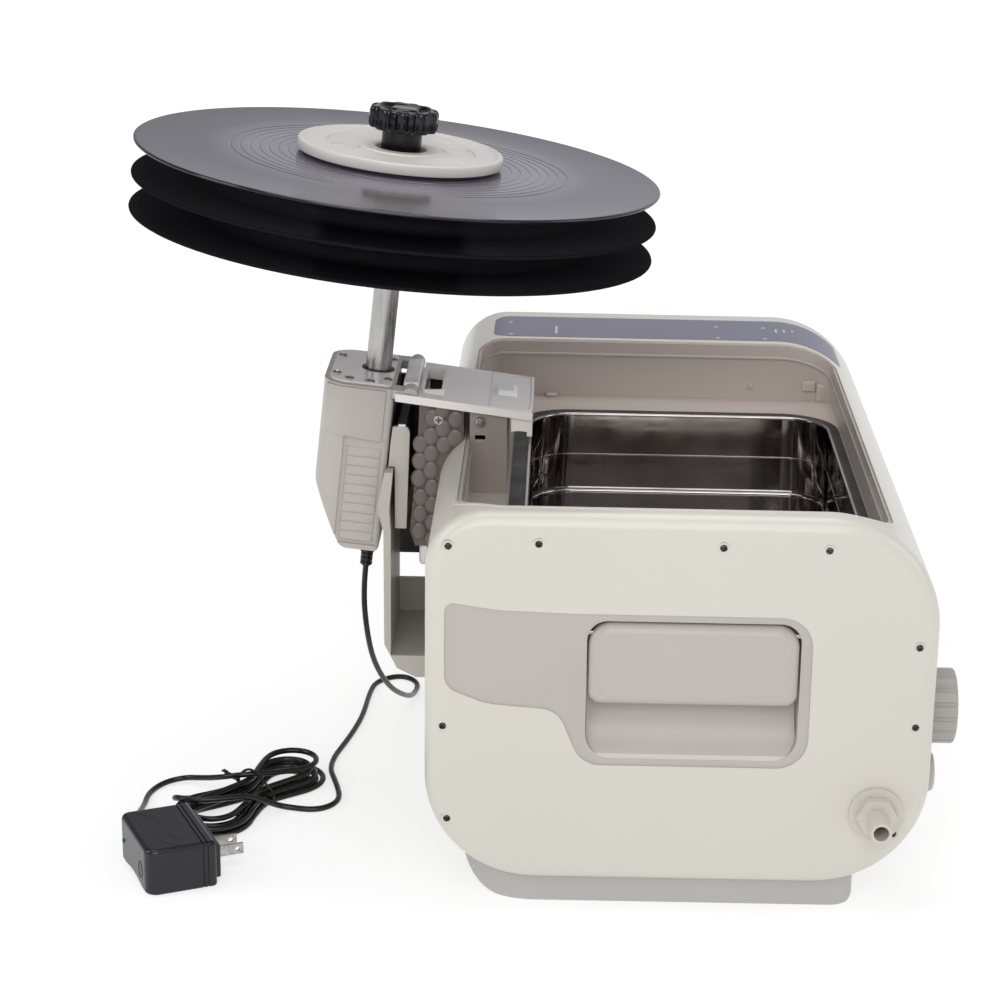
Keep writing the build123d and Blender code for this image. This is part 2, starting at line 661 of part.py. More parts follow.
def make_motor_cover():
    panel = box(*VENT_U, RY0 + 2.0, RY0 + 5, *VENT_W)
    rib_gap = (VENT_W[1] - VENT_W[0]) / 10
    for i in range(10):
        w = VENT_W[0] + (i + 0.5) * rib_gap
        panel += box(VENT_U[0] + 1, VENT_U[1] - 1, RY0 + 1.2, RY0 + 2.0,
                     w - 1.9, w + 1.9)
    return head(panel)


PLATE_SCREWS = [(-44.0, -57.0), (-36.0, -66.0), (-23.5, -68.0),
                (-14.0, -60.0), (-14.0, -14.0), (-44.0, -17.0)]


def make_bearing_plate():
    plan = rounded([(BOX_U0 + 3, RY0 + 5), (BOX_U1 - 2, RY0 + 5),
                    (BOX_U1 - 2, RY1 - 5), (BOX_U0 + 3, RY1 - 5)],
                   [11.0, 4.0, 4.0, 11.0])
    plate = up(plan, BOX_W1, BOX_W1 + 1.2) - cyl_z(
        8.2, SHAFT_U, RYC, BOX_W1 - 1, BOX_W1 + 2)
    return head(plate)


def make_plate_screws():
    return [head(cyl_z(2.6, u, y, BOX_W1 + 1.2, BOX_W1 + 2.2))
            for u, y in PLATE_SCREWS]


def make_gear_motor():
    top = BOX_W1 - 3.5
    gearbox = box(BOX_U0 + 6, BOX_U1 - 5, RYC - 22, RYC + 22, top - 16, top)
    motor = cyl_z(14.0, BOX_U0 + 21, RYC, top - 64, top - 16)
    gearbox -= cyl_z(4.0 + FIT, SHAFT_U, RYC, top - 12, top + 1)
    return head(gearbox + motor)


def make_dc_jack():
    body = cyl_z(4.5, JACK_U, RYC, BOX_W0, BOX_W0 + 3)
    flange = box(-33, BOX_U1 - 1, RYC - 14, RYC + 14, BOX_W0 - 2, BOX_W0)
    return head(body + flange - cyl_z(2.9, JACK_U, RYC, BOX_W0 - 3,
                                      BOX_W0 + 2))


# ------------------------------------------------------------ spindle stack
def make_shaft():
    top = BOX_W1 - 3.5
    w1 = REC_W_TOP - 2 * REC_SPACING - REC_T_LABEL / 2 - 3
    shaft = cyl_z(4.0, SHAFT_U, RYC, top - 11, BOX_W1 + 0.2)
    shaft += cyl_z(7.5, SHAFT_U, RYC, BOX_W1 + 0.2, w1)
    shaft += cyl_z(REC_HOLE_R - 0.02, SHAFT_U, RYC, w1,
                   REC_W_TOP + 20)
    return head(shaft)


def record_profile():
    a, b, c = REC_T_LABEL / 2, REC_T_GROOVE / 2, REC_T_RIM / 2
    pts = [(REC_HOLE_R, -a), (REC_LABEL_R, -a), (REC_LABEL_R + 3, -b),
           (REC_R - 3.5, -b), (REC_R - 2.0, -c), (REC_R - 0.4, -c),
           (REC_R, -c + 0.4), (REC_R, c - 0.4), (REC_R - 0.4, c),
           (REC_R - 2.0, c), (REC_R - 3.5, b), (REC_LABEL_R + 3, b),
           (REC_LABEL_R, a), (REC_HOLE_R, a)]
    return make_face(Plane.XZ * Polyline(*pts, close=True))


def make_record(index):
    disc = revolve(record_profile(), axis=Axis.Z)
    w = REC_W_TOP - index * REC_SPACING
    return head(Pos(SHAFT_U, RYC, w) * disc)


def make_spacer(index):
    top = REC_W_TOP - index * REC_SPACING - REC_T_LABEL / 2
    low = top - REC_SPACING + REC_T_LABEL
    ring = cyl_z(42.0, SHAFT_U, RYC, low, top) - cyl_z(
        REC_HOLE_R, SHAFT_U, RYC, low - 1, top + 1)
    return head(ring)


def make_lower_hub():
    top = REC_W_TOP - 2 * REC_SPACING - REC_T_LABEL / 2
    hub = cyl_z(42.0, SHAFT_U, RYC, top - 3, top) + cyl_z(
        13.0, SHAFT_U, RYC, top - 11, top - 3)
    return head(hub - cyl_z(7.5, SHAFT_U, RYC, top - 12, top - 3)
                - cyl_z(REC_HOLE_R, SHAFT_U, RYC, top - 4, top + 1))


def make_label_seal():
    w = REC_W_TOP + REC_T_LABEL / 2
    return head(cyl_z(55.0, SHAFT_U, RYC, w, w + SEAL_T) - cyl_z(
        REC_HOLE_R, SHAFT_U, RYC, w - 1, w + SEAL_T + 1))


SEAL_T = 1.8


def make_clamp_plate():
    w = REC_W_TOP + REC_T_LABEL / 2 + SEAL_T
    plate = cyl_z(CLAMP_R, SHAFT_U, RYC, w, w + CLAMP_T)
    plate = fillet(plate.edges().filter_by_position(
        Axis.Z, w + CLAMP_T - 0.01, w + CLAMP_T + 0.01), 1.2)
    plate -= cyl_z(CLAMP_R - 4, SHAFT_U, RYC, w + CLAMP_T - 1.2,
                   w + CLAMP_T + 1)
    plate -= cyl_z(14.5, SHAFT_U, RYC, w + CLAMP_T - 4, w + CLAMP_T + 1)
    plate -= cyl_z(REC_HOLE_R, SHAFT_U, RYC, w - 1, w + CLAMP_T)
    return head(plate)


def make_knob_washer():
    w = REC_W_TOP + REC_T_LABEL / 2 + SEAL_T + CLAMP_T - 4
    return head(cyl_z(12.5, SHAFT_U, RYC, w, w + 1) - cyl_z(
        REC_HOLE_R + FIT, SHAFT_U, RYC, w - 1, w + 2))


def make_clamp_knob():
    w0 = REC_W_TOP + REC_T_LABEL / 2 + SEAL_T + CLAMP_T - 3
    w1 = w0 + 12.0
    stem = cyl_z(11.5, SHAFT_U, RYC, w0, w1)
    star = cyl_z(KNOB_R, SHAFT_U, RYC, w1, w1 + KNOB_T)
    star = fillet(star.edges().filter_by_position(
        Axis.Z, w1 + KNOB_T - 0.01, w1 + KNOB_T + 0.01), 2.0)
    for i in range(12):
        a = math.radians(30 * i)
        star -= cyl_z(3.2, SHAFT_U + (KNOB_R + 1.2) * math.cos(a),
                      RYC + (KNOB_R + 1.2) * math.sin(a), w1 - 1,
                      w1 + KNOB_T + 1)
    knob = stem + star
    return head(knob - cyl_z(REC_HOLE_R + FIT, SHAFT_U, RYC, w0 - 1,
                             REC_W_TOP + 21))


# -------------------------------------------------------------------- cords
CORD_R = 1.75
PLUG_TIP = (JACK_U, RYC, BOX_W0 + 2)
CORD_FLOOR = [(-160.0, 76.0), (-159.0, 101.0), (-183.0, 101.0),
              (-190.0, 75.0), (-191.0, 38.0), (-196.0, 3.5),
              (-206.5, -44.0), (-198.0, -74.0), (-194.0, -98.0),
              (-206.0, -112.0), (-228.0, -107.0), (-240.0, -104.0)]


def make_dc_plug():
    barrel = cyl_z(2.8, JACK_U, RYC, BOX_W0 - 2, BOX_W0 + 1.5)
    body = cyl_z(4.2, JACK_U, RYC, BOX_W0 - 14, BOX_W0 - 2)
    relief = cyl_z(2.6, JACK_U, RYC, BOX_W0 - 23, BOX_W0 - 14)
    for i in range(3):
        relief += cyl_z(3.7, JACK_U, RYC, BOX_W0 - 22 + 2.8 * i,
                        BOX_W0 - 20.4 + 2.8 * i)
    return head(barrel + body + relief)


def bend_radius(a, b, c, share=0.45):
    """Arc radius for a corner so that it takes 0.45 of its shorter run."""
    u = (Vector(*a) - Vector(*b))
    v = (Vector(*c) - Vector(*b))
    turn = math.pi - math.radians(u.get_angle(v))
    return share * min(u.length, v.length) / math.tan(turn / 2)


def cord(name, points):
    """Round cord through the points, every corner with its own bend."""
    radii = [bend_radius(points[i - 1], points[i], points[i + 1])
             for i in range(1, len(points) - 1)]
    edges, start = [], Vector(*points[0])
    for i, r in enumerate(radii, 1):
        a, b, c = (Vector(*points[i - 1]), Vector(*points[i]),
                   Vector(*points[i + 1]))
        turn = math.pi - math.radians((a - b).get_angle(c - b))
        reach = r * math.tan(turn / 2)
        p = b + (a - b).normalized() * reach
        q = b + (c - b).normalized() * reach
        mid_dir = ((a - b).normalized() + (c - b).normalized()).normalized()
        centre = b + mid_dir * (r / math.cos(turn / 2))
        m = centre - mid_dir * r
        edges.append(Line(start, p))
        edges.append(ThreePointArc(p, m, q))
        start = q
    edges.append(Line(start, Vector(*points[-1])))
    path = Wire(edges)
    first = (Vector(*points[1]) - Vector(*points[0])).normalized()
    ring = Plane(origin=points[0], z_dir=first) * Circle(CORD_R)
    print(name, "length %.0f" % path.length, "bend radii",
          " ".join("%.1f" % r for r in radii))
    return sweep(ring, path=path)


def drop_points():
    top = world_of(JACK_U, RYC, BOX_W0 - 22.8)
    return [top, world_of(JACK_U, RYC, BOX_W0 - 40), (-183.5, RYC + 10, 84),
            (-180.5, RYC + 28, 56), (-172.5, RYC + 54, 29),
            (-163.5, RYC + 87, 10)
            ] + [(x, y, CORD_R) for x, y in CORD_FLOOR]


def make_cord_drop():
    return (cord("cord_drop", drop_points()) - make_dc_plug()
            - make_cord_hank())


HANK_C, HANK_L, HANK_W, HANK_H = (-247.0, -97.0), 114.0, 44.0, 16.0
HANK_A = 58.6


def make_cord_hank():
    bundle = extrude(SlotOverall(HANK_L, HANK_W), amount=HANK_H)
    bundle = fillet(bundle.edges().filter_by_position(
        Axis.Z, HANK_H - 0.01, HANK_H + 0.01), 6.0)
    return Pos(HANK_C[0], HANK_C[1], 0) * Rot(0, 0, HANK_A) * bundle


def tail_points():
    return [(-256.0, -90.0, 10.0), (-273.0, -79.0, 9.0), (-289.0, -66.0, 4.0),
            (-302.0, -70.0, 2.6), (-309.0, -90.0, CORD_R),
            (-308.5, -118.0, 3.0), adapter_at(-9, AD_L / 2 + 20, 11.0),
            adapter_at(-9, AD_L / 2 + 2, 13.0)]


def make_cord_tail():
    return (cord("cord_tail", tail_points()) - make_adapter()
            - make_cord_hank())


AD_C, AD_A = (-280.5, -191.5), 24.0
AD_W, AD_L, AD_H = 43.0, 58.0, 27.0
AD_SEAM, AD_STEP = AD_W / 2 - 11.5, 3.0  # parting groove, block at the blades
AD_ARCH, AD_ARCH_R = 3.0, 70.0


def adapter_at(x, y, z):
    a = math.radians(AD_A)
    return (AD_C[0] + x * math.cos(a) - y * math.sin(a),
            AD_C[1] + x * math.sin(a) + y * math.cos(a), z)


def make_adapter():
    x0, x1, y0, y1 = -AD_W / 2, AD_W / 2, -AD_L / 2, AD_L / 2
    body = up(rounded([(x0, y0), (x1 - AD_STEP, y0), (x1 - AD_STEP, y1),
                       (x0, y1)], [7.0, 3.0, 3.0, 5.0]), 0, AD_H)
    body = fillet(body.edges().filter_by_position(
        Axis.Z, AD_H - 0.01, AD_H + 0.01), 2.8)
    body = fillet(body.edges().filter_by_position(Axis.Z, -0.01, 0.01), 1.5)
    # hollow under the case, and the two parting grooves round it
    body -= cyl_x(AD_ARCH_R, 0, AD_ARCH - AD_ARCH_R, x0 - 1, AD_SEAM - 4)
    for x in (AD_SEAM, AD_SEAM + 2.6):
        body -= box(x, x + 0.8, y0 - 1, y1 + 1, -1, AD_H + 1) - box(
            x - 1, x + 2, y0 + 0.7, y1 - 0.7, 0.7, AD_H - 0.7)
    step = box(x1 - AD_STEP - 1, x1, y0 + 4, y1 - 4, 3.5, AD_H - 4)
    body += fillet(step.edges().filter_by_position(
        Axis.X, x1 - 0.01, x1 + 0.01), 1.2)
    boss = cyl_y(4.0, -9, 13, y1 - 1, y1 + 4)
    return Pos(AD_C[0], AD_C[1], 0) * Rot(0, 0, AD_A) * (body + boss)


def make_adapter_blades():
    out = []
    for y in (-14.0, -1.3):
        blade = box(AD_W / 2, AD_W / 2 + 16, y - 0.75, y + 0.75, 10.5, 16.8)
        blade -= cyl_y(1.5, AD_W / 2 + 12.5, 13.6, y - 1, y + 1)
        out.append(Pos(AD_C[0], AD_C[1], 0) * Rot(0, 0, AD_A) * blade)
    return out


# --------------------------------------------------------------------- build
save("base_plinth", make_plinth())
save("rubber_feet", make_feet())
save("centre_shell", make_centre_shell())
save("near_end_cover", make_near_cover())
save("far_end_cover", make_far_cover())
save("cover_screws", make_cover_screws())
save("control_panel", make_control_panel())
save("deck_lining", make_deck_lining())
save("deck_ledge", make_deck_ledge())
save("tank", make_tank())
save("tank_flange", make_tank_flange())
save("transducers", make_transducers())
save("heater_pad", make_heater())
save("circuit_board", make_board())
save("board_standoffs", make_standoffs())
save("handle_insert_near", make_handle_insert_near())
save("handle_insert_far", make_handle_insert_far())
save("handle_grip_near", make_grip_near())
save("handle_grip_far", make_grip_far())
save("handle_pins", make_handle_pins())
save("drain_flange", make_drain_flange())
save("drain_nut", make_drain_nut())
save("drain_spout", make_drain_spout())
save("drain_valve_body", make_valve_body())
save("drain_pipe", make_drain_pipe())
save("drain_knob", make_drain_knob())
save("side_cap", make_side_cap())
save("power_inlet", make_power_inlet())
save("inlet_pins", make_inlet_pins())
save("rest_arm", make_rest_arm())
save("hanger_plate", make_hanger_plate())
save("hanger_back", make_hanger_back())
save("hanger_leg", make_hanger_leg())
save("wall_pad", make_wall_pad())
save("hanger_screws", make_leg_screws())
save("hanger_latch", make_latch())
save("hinge_pin", make_hinge_pin())
save("motor_housing", make_motor_housing())
save("motor_cover", make_motor_cover())
save("bearing_plate", make_bearing_plate())
save("plate_screws", make_plate_screws())
save("gear_motor", make_gear_motor())
save("dc_jack", make_dc_jack())
save("spindle_shaft", make_shaft())
save("lower_hub", make_lower_hub())
for n, i in (("record_top", 0), ("record_middle", 1), ("record_bottom", 2)):
    save(n, make_record(i))
save("spacer_upper", make_spacer(0))
save("spacer_lower", make_spacer(1))
save("label_seal", make_label_seal())
save("clamp_plate", make_clamp_plate())
save("knob_washer", make_knob_washer())
save("clamp_knob", make_clamp_knob())
save("dc_plug", make_dc_plug())
save("cord_drop", make_cord_drop())
save("cord_hank", make_cord_hank())
save("cord_tail", make_cord_tail())
save("adapter_body", make_adapter())
save("adapter_blades", make_adapter_blades())
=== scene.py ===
import json
import math
import random

import bmesh
import bpy
from mathutils import Matrix, Vector


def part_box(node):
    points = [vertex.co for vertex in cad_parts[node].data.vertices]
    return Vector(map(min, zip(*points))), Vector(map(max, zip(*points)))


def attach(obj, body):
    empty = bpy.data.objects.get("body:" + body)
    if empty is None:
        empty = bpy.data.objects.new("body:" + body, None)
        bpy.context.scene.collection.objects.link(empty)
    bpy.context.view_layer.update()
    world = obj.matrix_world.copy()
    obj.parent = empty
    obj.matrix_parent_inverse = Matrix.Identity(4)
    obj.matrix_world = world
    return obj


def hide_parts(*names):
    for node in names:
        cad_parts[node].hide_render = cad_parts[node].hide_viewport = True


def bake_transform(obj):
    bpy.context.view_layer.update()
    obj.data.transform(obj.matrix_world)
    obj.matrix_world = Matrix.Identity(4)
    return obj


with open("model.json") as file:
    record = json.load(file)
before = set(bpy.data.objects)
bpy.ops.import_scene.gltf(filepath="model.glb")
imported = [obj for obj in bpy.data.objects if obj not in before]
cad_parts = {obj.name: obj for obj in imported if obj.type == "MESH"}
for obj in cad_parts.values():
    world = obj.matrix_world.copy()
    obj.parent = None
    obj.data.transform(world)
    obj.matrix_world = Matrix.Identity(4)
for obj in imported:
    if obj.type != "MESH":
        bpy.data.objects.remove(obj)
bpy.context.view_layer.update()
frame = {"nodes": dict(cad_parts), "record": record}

# ------------------------------------------------------------------ measures
MM = 0.001
CASE_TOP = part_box("centre_shell")[1][2] / MM
HINGE_X, HINGE_Z, LEAN = -154.0, 247.0, 5.8      # rack hinge line, rest lean
RACK_Y = -37.0                                   # middle of the rack
SPINDLE_U, JACK_U = -21.3, -17.0
BOX_BASE_W, BOX_TOP_W = -96.0, 2.5
DISC_R, DISC_HOLE_R, LABEL_R, DISC_GAP = 150.8, 3.62, 50.0, 19.7
DISC_W = 127.0                                   # middle of the top disc
SEAL_T, CLAMP_R, CLAMP_T = 1.8, 59.0, 6.5
CORD_R = 1.75
ADAPTER_AT, ADAPTER_TURN = (-280.5, -191.5), 24.0
ADAPTER_W, ADAPTER_H = 43.0, 27.0
HANK_AT, HANK_TURN = (-247.0, -97.0), 58.6

ON_RACK = (Matrix.Translation((HINGE_X, 0, HINGE_Z))
           @ Matrix.Rotation(math.radians(LEAN), 4, "Y"))
ON_SPINDLE = ON_RACK @ Matrix.Translation((SPINDLE_U, RACK_Y, 0))
ON_ADAPTER = (Matrix.Translation((*ADAPTER_AT, 0))
              @ Matrix.Rotation(math.radians(ADAPTER_TURN), 4, "Z"))


# ------------------------------------------------------------ mesh workshop
def verts_of(geom):
    return [v for v in geom if isinstance(v, bmesh.types.BMVert)]


def edges_of(geom):
    return [e for e in geom if isinstance(e, bmesh.types.BMEdge)]


def piece(name, bm, body, finish, place=Matrix(), smooth=35.0):
    """Turns a mesh modelled in millimetres into a finished piece."""
    bmesh.ops.remove_doubles(bm, verts=bm.verts, dist=1e-5)
    bmesh.ops.recalc_face_normals(bm, faces=bm.faces)
    bmesh.ops.transform(bm, matrix=Matrix.Scale(MM, 4) @ place, verts=bm.verts)
    limit = math.radians(smooth)
    for edge in bm.edges:
        edge.smooth = edge.calc_face_angle(math.pi) < limit
    for face in bm.faces:
        face.smooth = True
    mesh = bpy.data.meshes.new(name)
    bm.to_mesh(mesh)
    bm.free()
    item = bpy.data.objects.new(name, mesh)
    bpy.context.scene.collection.objects.link(item)
    mesh.materials.append(FINISHES[finish])
    if body:
        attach(item, body)
    return item


def spun(profile, steps=128):
    """Turns an open or closed profile of (radius, height) round the Z axis."""
    bm = bmesh.new()
    verts = [bm.verts.new((r, 0, z)) for r, z in profile]
    edges = [bm.edges.new(pair) for pair in zip(verts, verts[1:])]
    bmesh.ops.spin(bm, geom=verts + edges, cent=(0, 0, 0), axis=(0, 0, 1),
                   angle=2 * math.pi, steps=steps, use_merge=True)
    bmesh.ops.remove_doubles(bm, verts=bm.verts, dist=1e-4)
    return bm


def block(size, at=(0, 0, 0), edge=0.0):
    """Box with rounded edges."""
    bm = bmesh.new()
    bmesh.ops.create_cube(bm, size=1.0, matrix=Matrix.Translation(at)
                          @ Matrix.Diagonal((*size, 1)))
    if edge:
        bmesh.ops.bevel(bm, geom=bm.edges[:], offset=edge, segments=3,
                        profile=0.5, affect="EDGES", material=-1)
    return bm


def take_in(bm, mesh):
    """Moves a mesh into the one being modelled."""
    bm.from_mesh(mesh)
    bpy.data.meshes.remove(mesh)


def add_into(bm, other, place=Matrix()):
    """Adds a second model to the first one."""
    bmesh.ops.transform(other, matrix=place, verts=other.verts)
    carrier = bpy.data.meshes.new("carrier")
    other.to_mesh(carrier)
    other.free()
    take_in(bm, carrier)


FOLLOW_STEP = 4.0       # spacing of the cuts in a band that follows a curve


def rounded_band(span_x, span_y, near, far, width, low, high, edge=0.0,
                 follow=None, grow=0.0):
    """Closed band round a rounded rectangle; near and far are the corner
    radii, follow gives the height of the line that it lies along."""
    bm = bmesh.new()
    bmesh.ops.create_grid(bm, x_segments=1, y_segments=1, size=1)
    for v in bm.verts:
        v.co.x = span_x[1] + grow if v.co.x > 0 else span_x[0] - grow
        v.co.y = span_y[1] + grow if v.co.y > 0 else span_y[0] - grow
    for radius, side in ((near, span_y[0] - grow), (far, span_y[1] + grow)):
        corners = [v for v in bm.verts if abs(v.co.y - side) < 0.01]
        bmesh.ops.bevel(bm, geom=corners, offset=radius + grow, segments=10,
                        profile=0.5, affect="VERTICES", material=-1)
    if follow:
        cut = span_x[0] + FOLLOW_STEP
        while cut < span_x[1]:
            bmesh.ops.bisect_plane(
                bm, geom=bm.verts[:] + bm.edges[:] + bm.faces[:],
                plane_co=(cut, 0, 0), plane_no=(1, 0, 0))
            cut += FOLLOW_STEP
    ring = bmesh.ops.inset_region(bm, faces=bm.faces[:], thickness=width,
                                  use_even_offset=True,
                                  use_boundary=True)["faces"]
    bmesh.ops.delete(bm, geom=[f for f in bm.faces if f not in ring],
                     context="FACES")
    lifted = bmesh.ops.extrude_face_region(bm, geom=bm.faces[:])["geom"]
    for v in bm.verts:
        v.co.z = low
    for v in verts_of(lifted):
        v.co.z = high
    if edge:
        bmesh.ops.recalc_face_normals(bm, faces=bm.faces)
        sharp = [e for e in bm.edges if e.calc_face_angle(0) > 1.2]
        bmesh.ops.bevel(bm, geom=sharp, offset=edge, segments=3, profile=0.5,
                        affect="EDGES", material=-1)
    if follow:
        for v in bm.verts:
            v.co.z += follow(v.co.x)
    return bm


def round_line(points, radius, steps, around, closed=False):
    """Mesh of a round line along a row of NURBS control points."""
    curve = bpy.data.curves.new("line", "CURVE")
    curve.dimensions = "3D"
    curve.resolution_u = steps
    curve.bevel_depth = radius
    curve.bevel_resolution = around
    curve.use_fill_caps = radius > 0
    spline = curve.splines.new("NURBS")
    spline.points.add(len(points) - 1)
    for point, place in zip(spline.points, points):
        point.co = (*place, 1)
    spline.order_u = 3
    spline.use_endpoint_u = not closed
    spline.use_cyclic_u = closed
    holder = bpy.data.objects.new("line", curve)
    mesh = bpy.data.meshes.new_from_object(holder)
    bpy.data.objects.remove(holder)
    bpy.data.curves.remove(curve)
    return mesh


def bead(points, radius, closed=False):
    """Thin round bead, in millimetres."""
    bm = bmesh.new()
    take_in(bm, round_line(points, radius, 4, 2, closed))
    return bm


def slab(outline, low, high, edge=0.0):
    """Flat outline of (x, y) points pulled up into a slab."""
    bm = bmesh.new()
    face = bm.faces.new([bm.verts.new((x, y, low)) for x, y in outline])
    lifted = bmesh.ops.extrude_face_region(bm, geom=[face])["geom"]
    for v in verts_of(lifted):
        v.co.z = high
    bmesh.ops.recalc_face_normals(bm, faces=bm.faces)
    if edge:
        bmesh.ops.bevel(bm, geom=bm.edges[:], offset=edge, segments=2,
                        profile=0.5, affect="EDGES", material=-1)
    return bm


# Turns a slab's (x, y, up) into the case's (x, z, towards the near end).
UPRIGHT = Matrix(((1, 0, 0, 0), (0, 0, -1, 0), (0, 1, 0, 0), (0, 0, 0, 1)))


# ---------------------------------------------------------------- finishes
def new_finish(name, colour, roughness, metallic=0.0, coat=0.0,
               specular=0.5):
    finish = bpy.data.materials.new(name)
    finish.use_nodes = True
    shader = finish.node_tree.nodes["Principled BSDF"]
    shader.inputs["Base Color"].default_value = (*colour, 1)
    shader.inputs["Roughness"].default_value = roughness
    shader.inputs["Metallic"].default_value = metallic
    shader.inputs["Coat Weight"].default_value = coat
    shader.inputs["Coat Roughness"].default_value = 0.1
    shader.inputs["Specular IOR Level"].default_value = specular
    return finish


def grain(finish, scale, detail, stretch=(1, 1, 1)):
    """Noise over the piece's own coordinates, scale in grains per metre."""
    tree = finish.node_tree
    place = tree.nodes.new("ShaderNodeTexCoord")
    turn = tree.nodes.new("ShaderNodeMapping")
    turn.inputs["Scale"].default_value = stretch
    noise = tree.nodes.new("ShaderNodeTexNoise")
    noise.inputs["Scale"].default_value = scale
    noise.inputs["Detail"].default_value = detail
    tree.links.new(place.outputs["Object"], turn.inputs["Vector"])
    tree.links.new(turn.outputs["Vector"], noise.inputs["Vector"])
    return noise.outputs["Fac"]


def spread(finish, value, low, high, start=0.3, end=0.7):
    """Maps a 0 to 1 value on to a range."""
    scale = finish.node_tree.nodes.new("ShaderNodeMapRange")
    for socket, number in (("From Min", start), ("From Max", end),
                           ("To Min", low), ("To Max", high)):
        scale.inputs[socket].default_value = number
    finish.node_tree.links.new(value, scale.inputs["Value"])
    return scale.outputs["Result"]


def tint(finish, value, first, second, start=0.3, end=0.7):
    """Blends two colours by a value, into the base colour."""
    tree = finish.node_tree
    blend = tree.nodes.new("ShaderNodeMix")
    blend.data_type = "RGBA"
    blend.inputs["A"].default_value = (*first, 1)
    blend.inputs["B"].default_value = (*second, 1)
    tree.links.new(spread(finish, value, 0.0, 1.0, start, end),
                   blend.inputs["Factor"])
    shader = tree.nodes["Principled BSDF"]
    tree.links.new(blend.outputs["Result"], shader.inputs["Base Color"])


def polish(finish, value, low, high):
    """Varies the roughness with a value."""
    shader = finish.node_tree.nodes["Principled BSDF"]
    finish.node_tree.links.new(spread(finish, value, low, high),
                               shader.inputs["Roughness"])


def relief(finish, value, height, strength=1.0):
    """Raises the surface by a value, height in millimetres."""
    tree = finish.node_tree
    shader = tree.nodes["Principled BSDF"]
    bump = tree.nodes.new("ShaderNodeBump")
    bump.inputs["Distance"].default_value = height * MM
    bump.inputs["Strength"].default_value = strength
    tree.links.new(value, bump.inputs["Height"])
    if shader.inputs["Normal"].is_linked:
        tree.links.new(shader.inputs["Normal"].links[0].from_socket,
                       bump.inputs["Normal"])
    tree.links.new(bump.outputs["Normal"], shader.inputs["Normal"])


def moulded_plastic(name, colour, roughness, drift=0.03, texture=0.02,
                    coat=0.0):
    """Injection-moulded plastic: fine spark texture and faint colour drift."""
    finish = new_finish(name, colour, roughness, coat=coat)
    darker = tuple(c * (1 - drift) for c in colour)
    lighter = tuple(min(1.0, c * (1 + drift)) for c in colour)
    tint(finish, grain(finish, 9, 2), darker, lighter)
    fine = grain(finish, 1500, 2)
    polish(finish, fine, roughness * 0.88, min(1.0, roughness * 1.12))
    relief(finish, fine, texture, 0.35)
    relief(finish, grain(finish, 40, 1), 0.05, 0.25)
    return finish


def polished_steel():
    finish = new_finish("polished_steel", (0.45, 0.43, 0.41), 0.09, 1.0)
    polish(finish, grain(finish, 60, 4), 0.04, 0.11)
    tint(finish, grain(finish, 22, 3), (0.31, 0.285, 0.265),
         (0.46, 0.44, 0.425))
    relief(finish, grain(finish, 18, 2), 0.5, 0.25)
    return finish


def steel_in_painted_shade():
    """Flat flange round the tank, dull and dark: painted shade where the rack
    carrier shades it.
    """
    finish = new_finish("steel_in_painted_shade", (0.03, 0.028, 0.027), 0.42,
                        specular=0.3)
    polish(finish, grain(finish, 60, 4), 0.36, 0.5)
    tint(finish, grain(finish, 50, 3), (0.02, 0.019, 0.018),
         (0.045, 0.042, 0.04))
    return finish


def brushed_steel():
    finish = new_finish("brushed_steel", (0.55, 0.54, 0.53), 0.28, 1.0)
    lines = grain(finish, 900, 3, (1, 1, 0.02))
    polish(finish, lines, 0.2, 0.38)
    relief(finish, lines, 0.01, 0.3)
    tint(finish, grain(finish, 60, 3), (0.37, 0.36, 0.35), (0.47, 0.46, 0.45))
    return finish


def screw_steel():
    finish = new_finish("screw_steel", (0.42, 0.41, 0.40), 0.32, 1.0)
    polish(finish, grain(finish, 500, 3), 0.22, 0.45)
    tint(finish, grain(finish, 350, 3), (0.33, 0.31, 0.29), (0.5, 0.49, 0.48))
    return finish


# Steel darkened to paint the shade inside the deep screw holes.
def screw_in_painted_shade():
    finish = new_finish("screw_in_painted_shade", (0.10, 0.09, 0.08), 0.3, 1.0)
    polish(finish, grain(finish, 500, 3), 0.2, 0.45)
    tint(finish, grain(finish, 350, 3), (0.05, 0.045, 0.04),
         (0.16, 0.15, 0.14))
    return finish


def black_rubber():
    finish = new_finish("black_rubber", (0.012, 0.012, 0.013), 0.6)
    polish(finish, grain(finish, 700, 3), 0.5, 0.7)
    relief(finish, grain(finish, 900, 2), 0.02, 0.3)
    return finish


def glossy_black():
    finish = new_finish("black_plastic", (0.005, 0.005, 0.006), 0.14,
                        specular=0.4)
    polish(finish, grain(finish, 300, 3), 0.09, 0.18)
    relief(finish, grain(finish, 120, 2), 0.02, 0.2)
    return finish


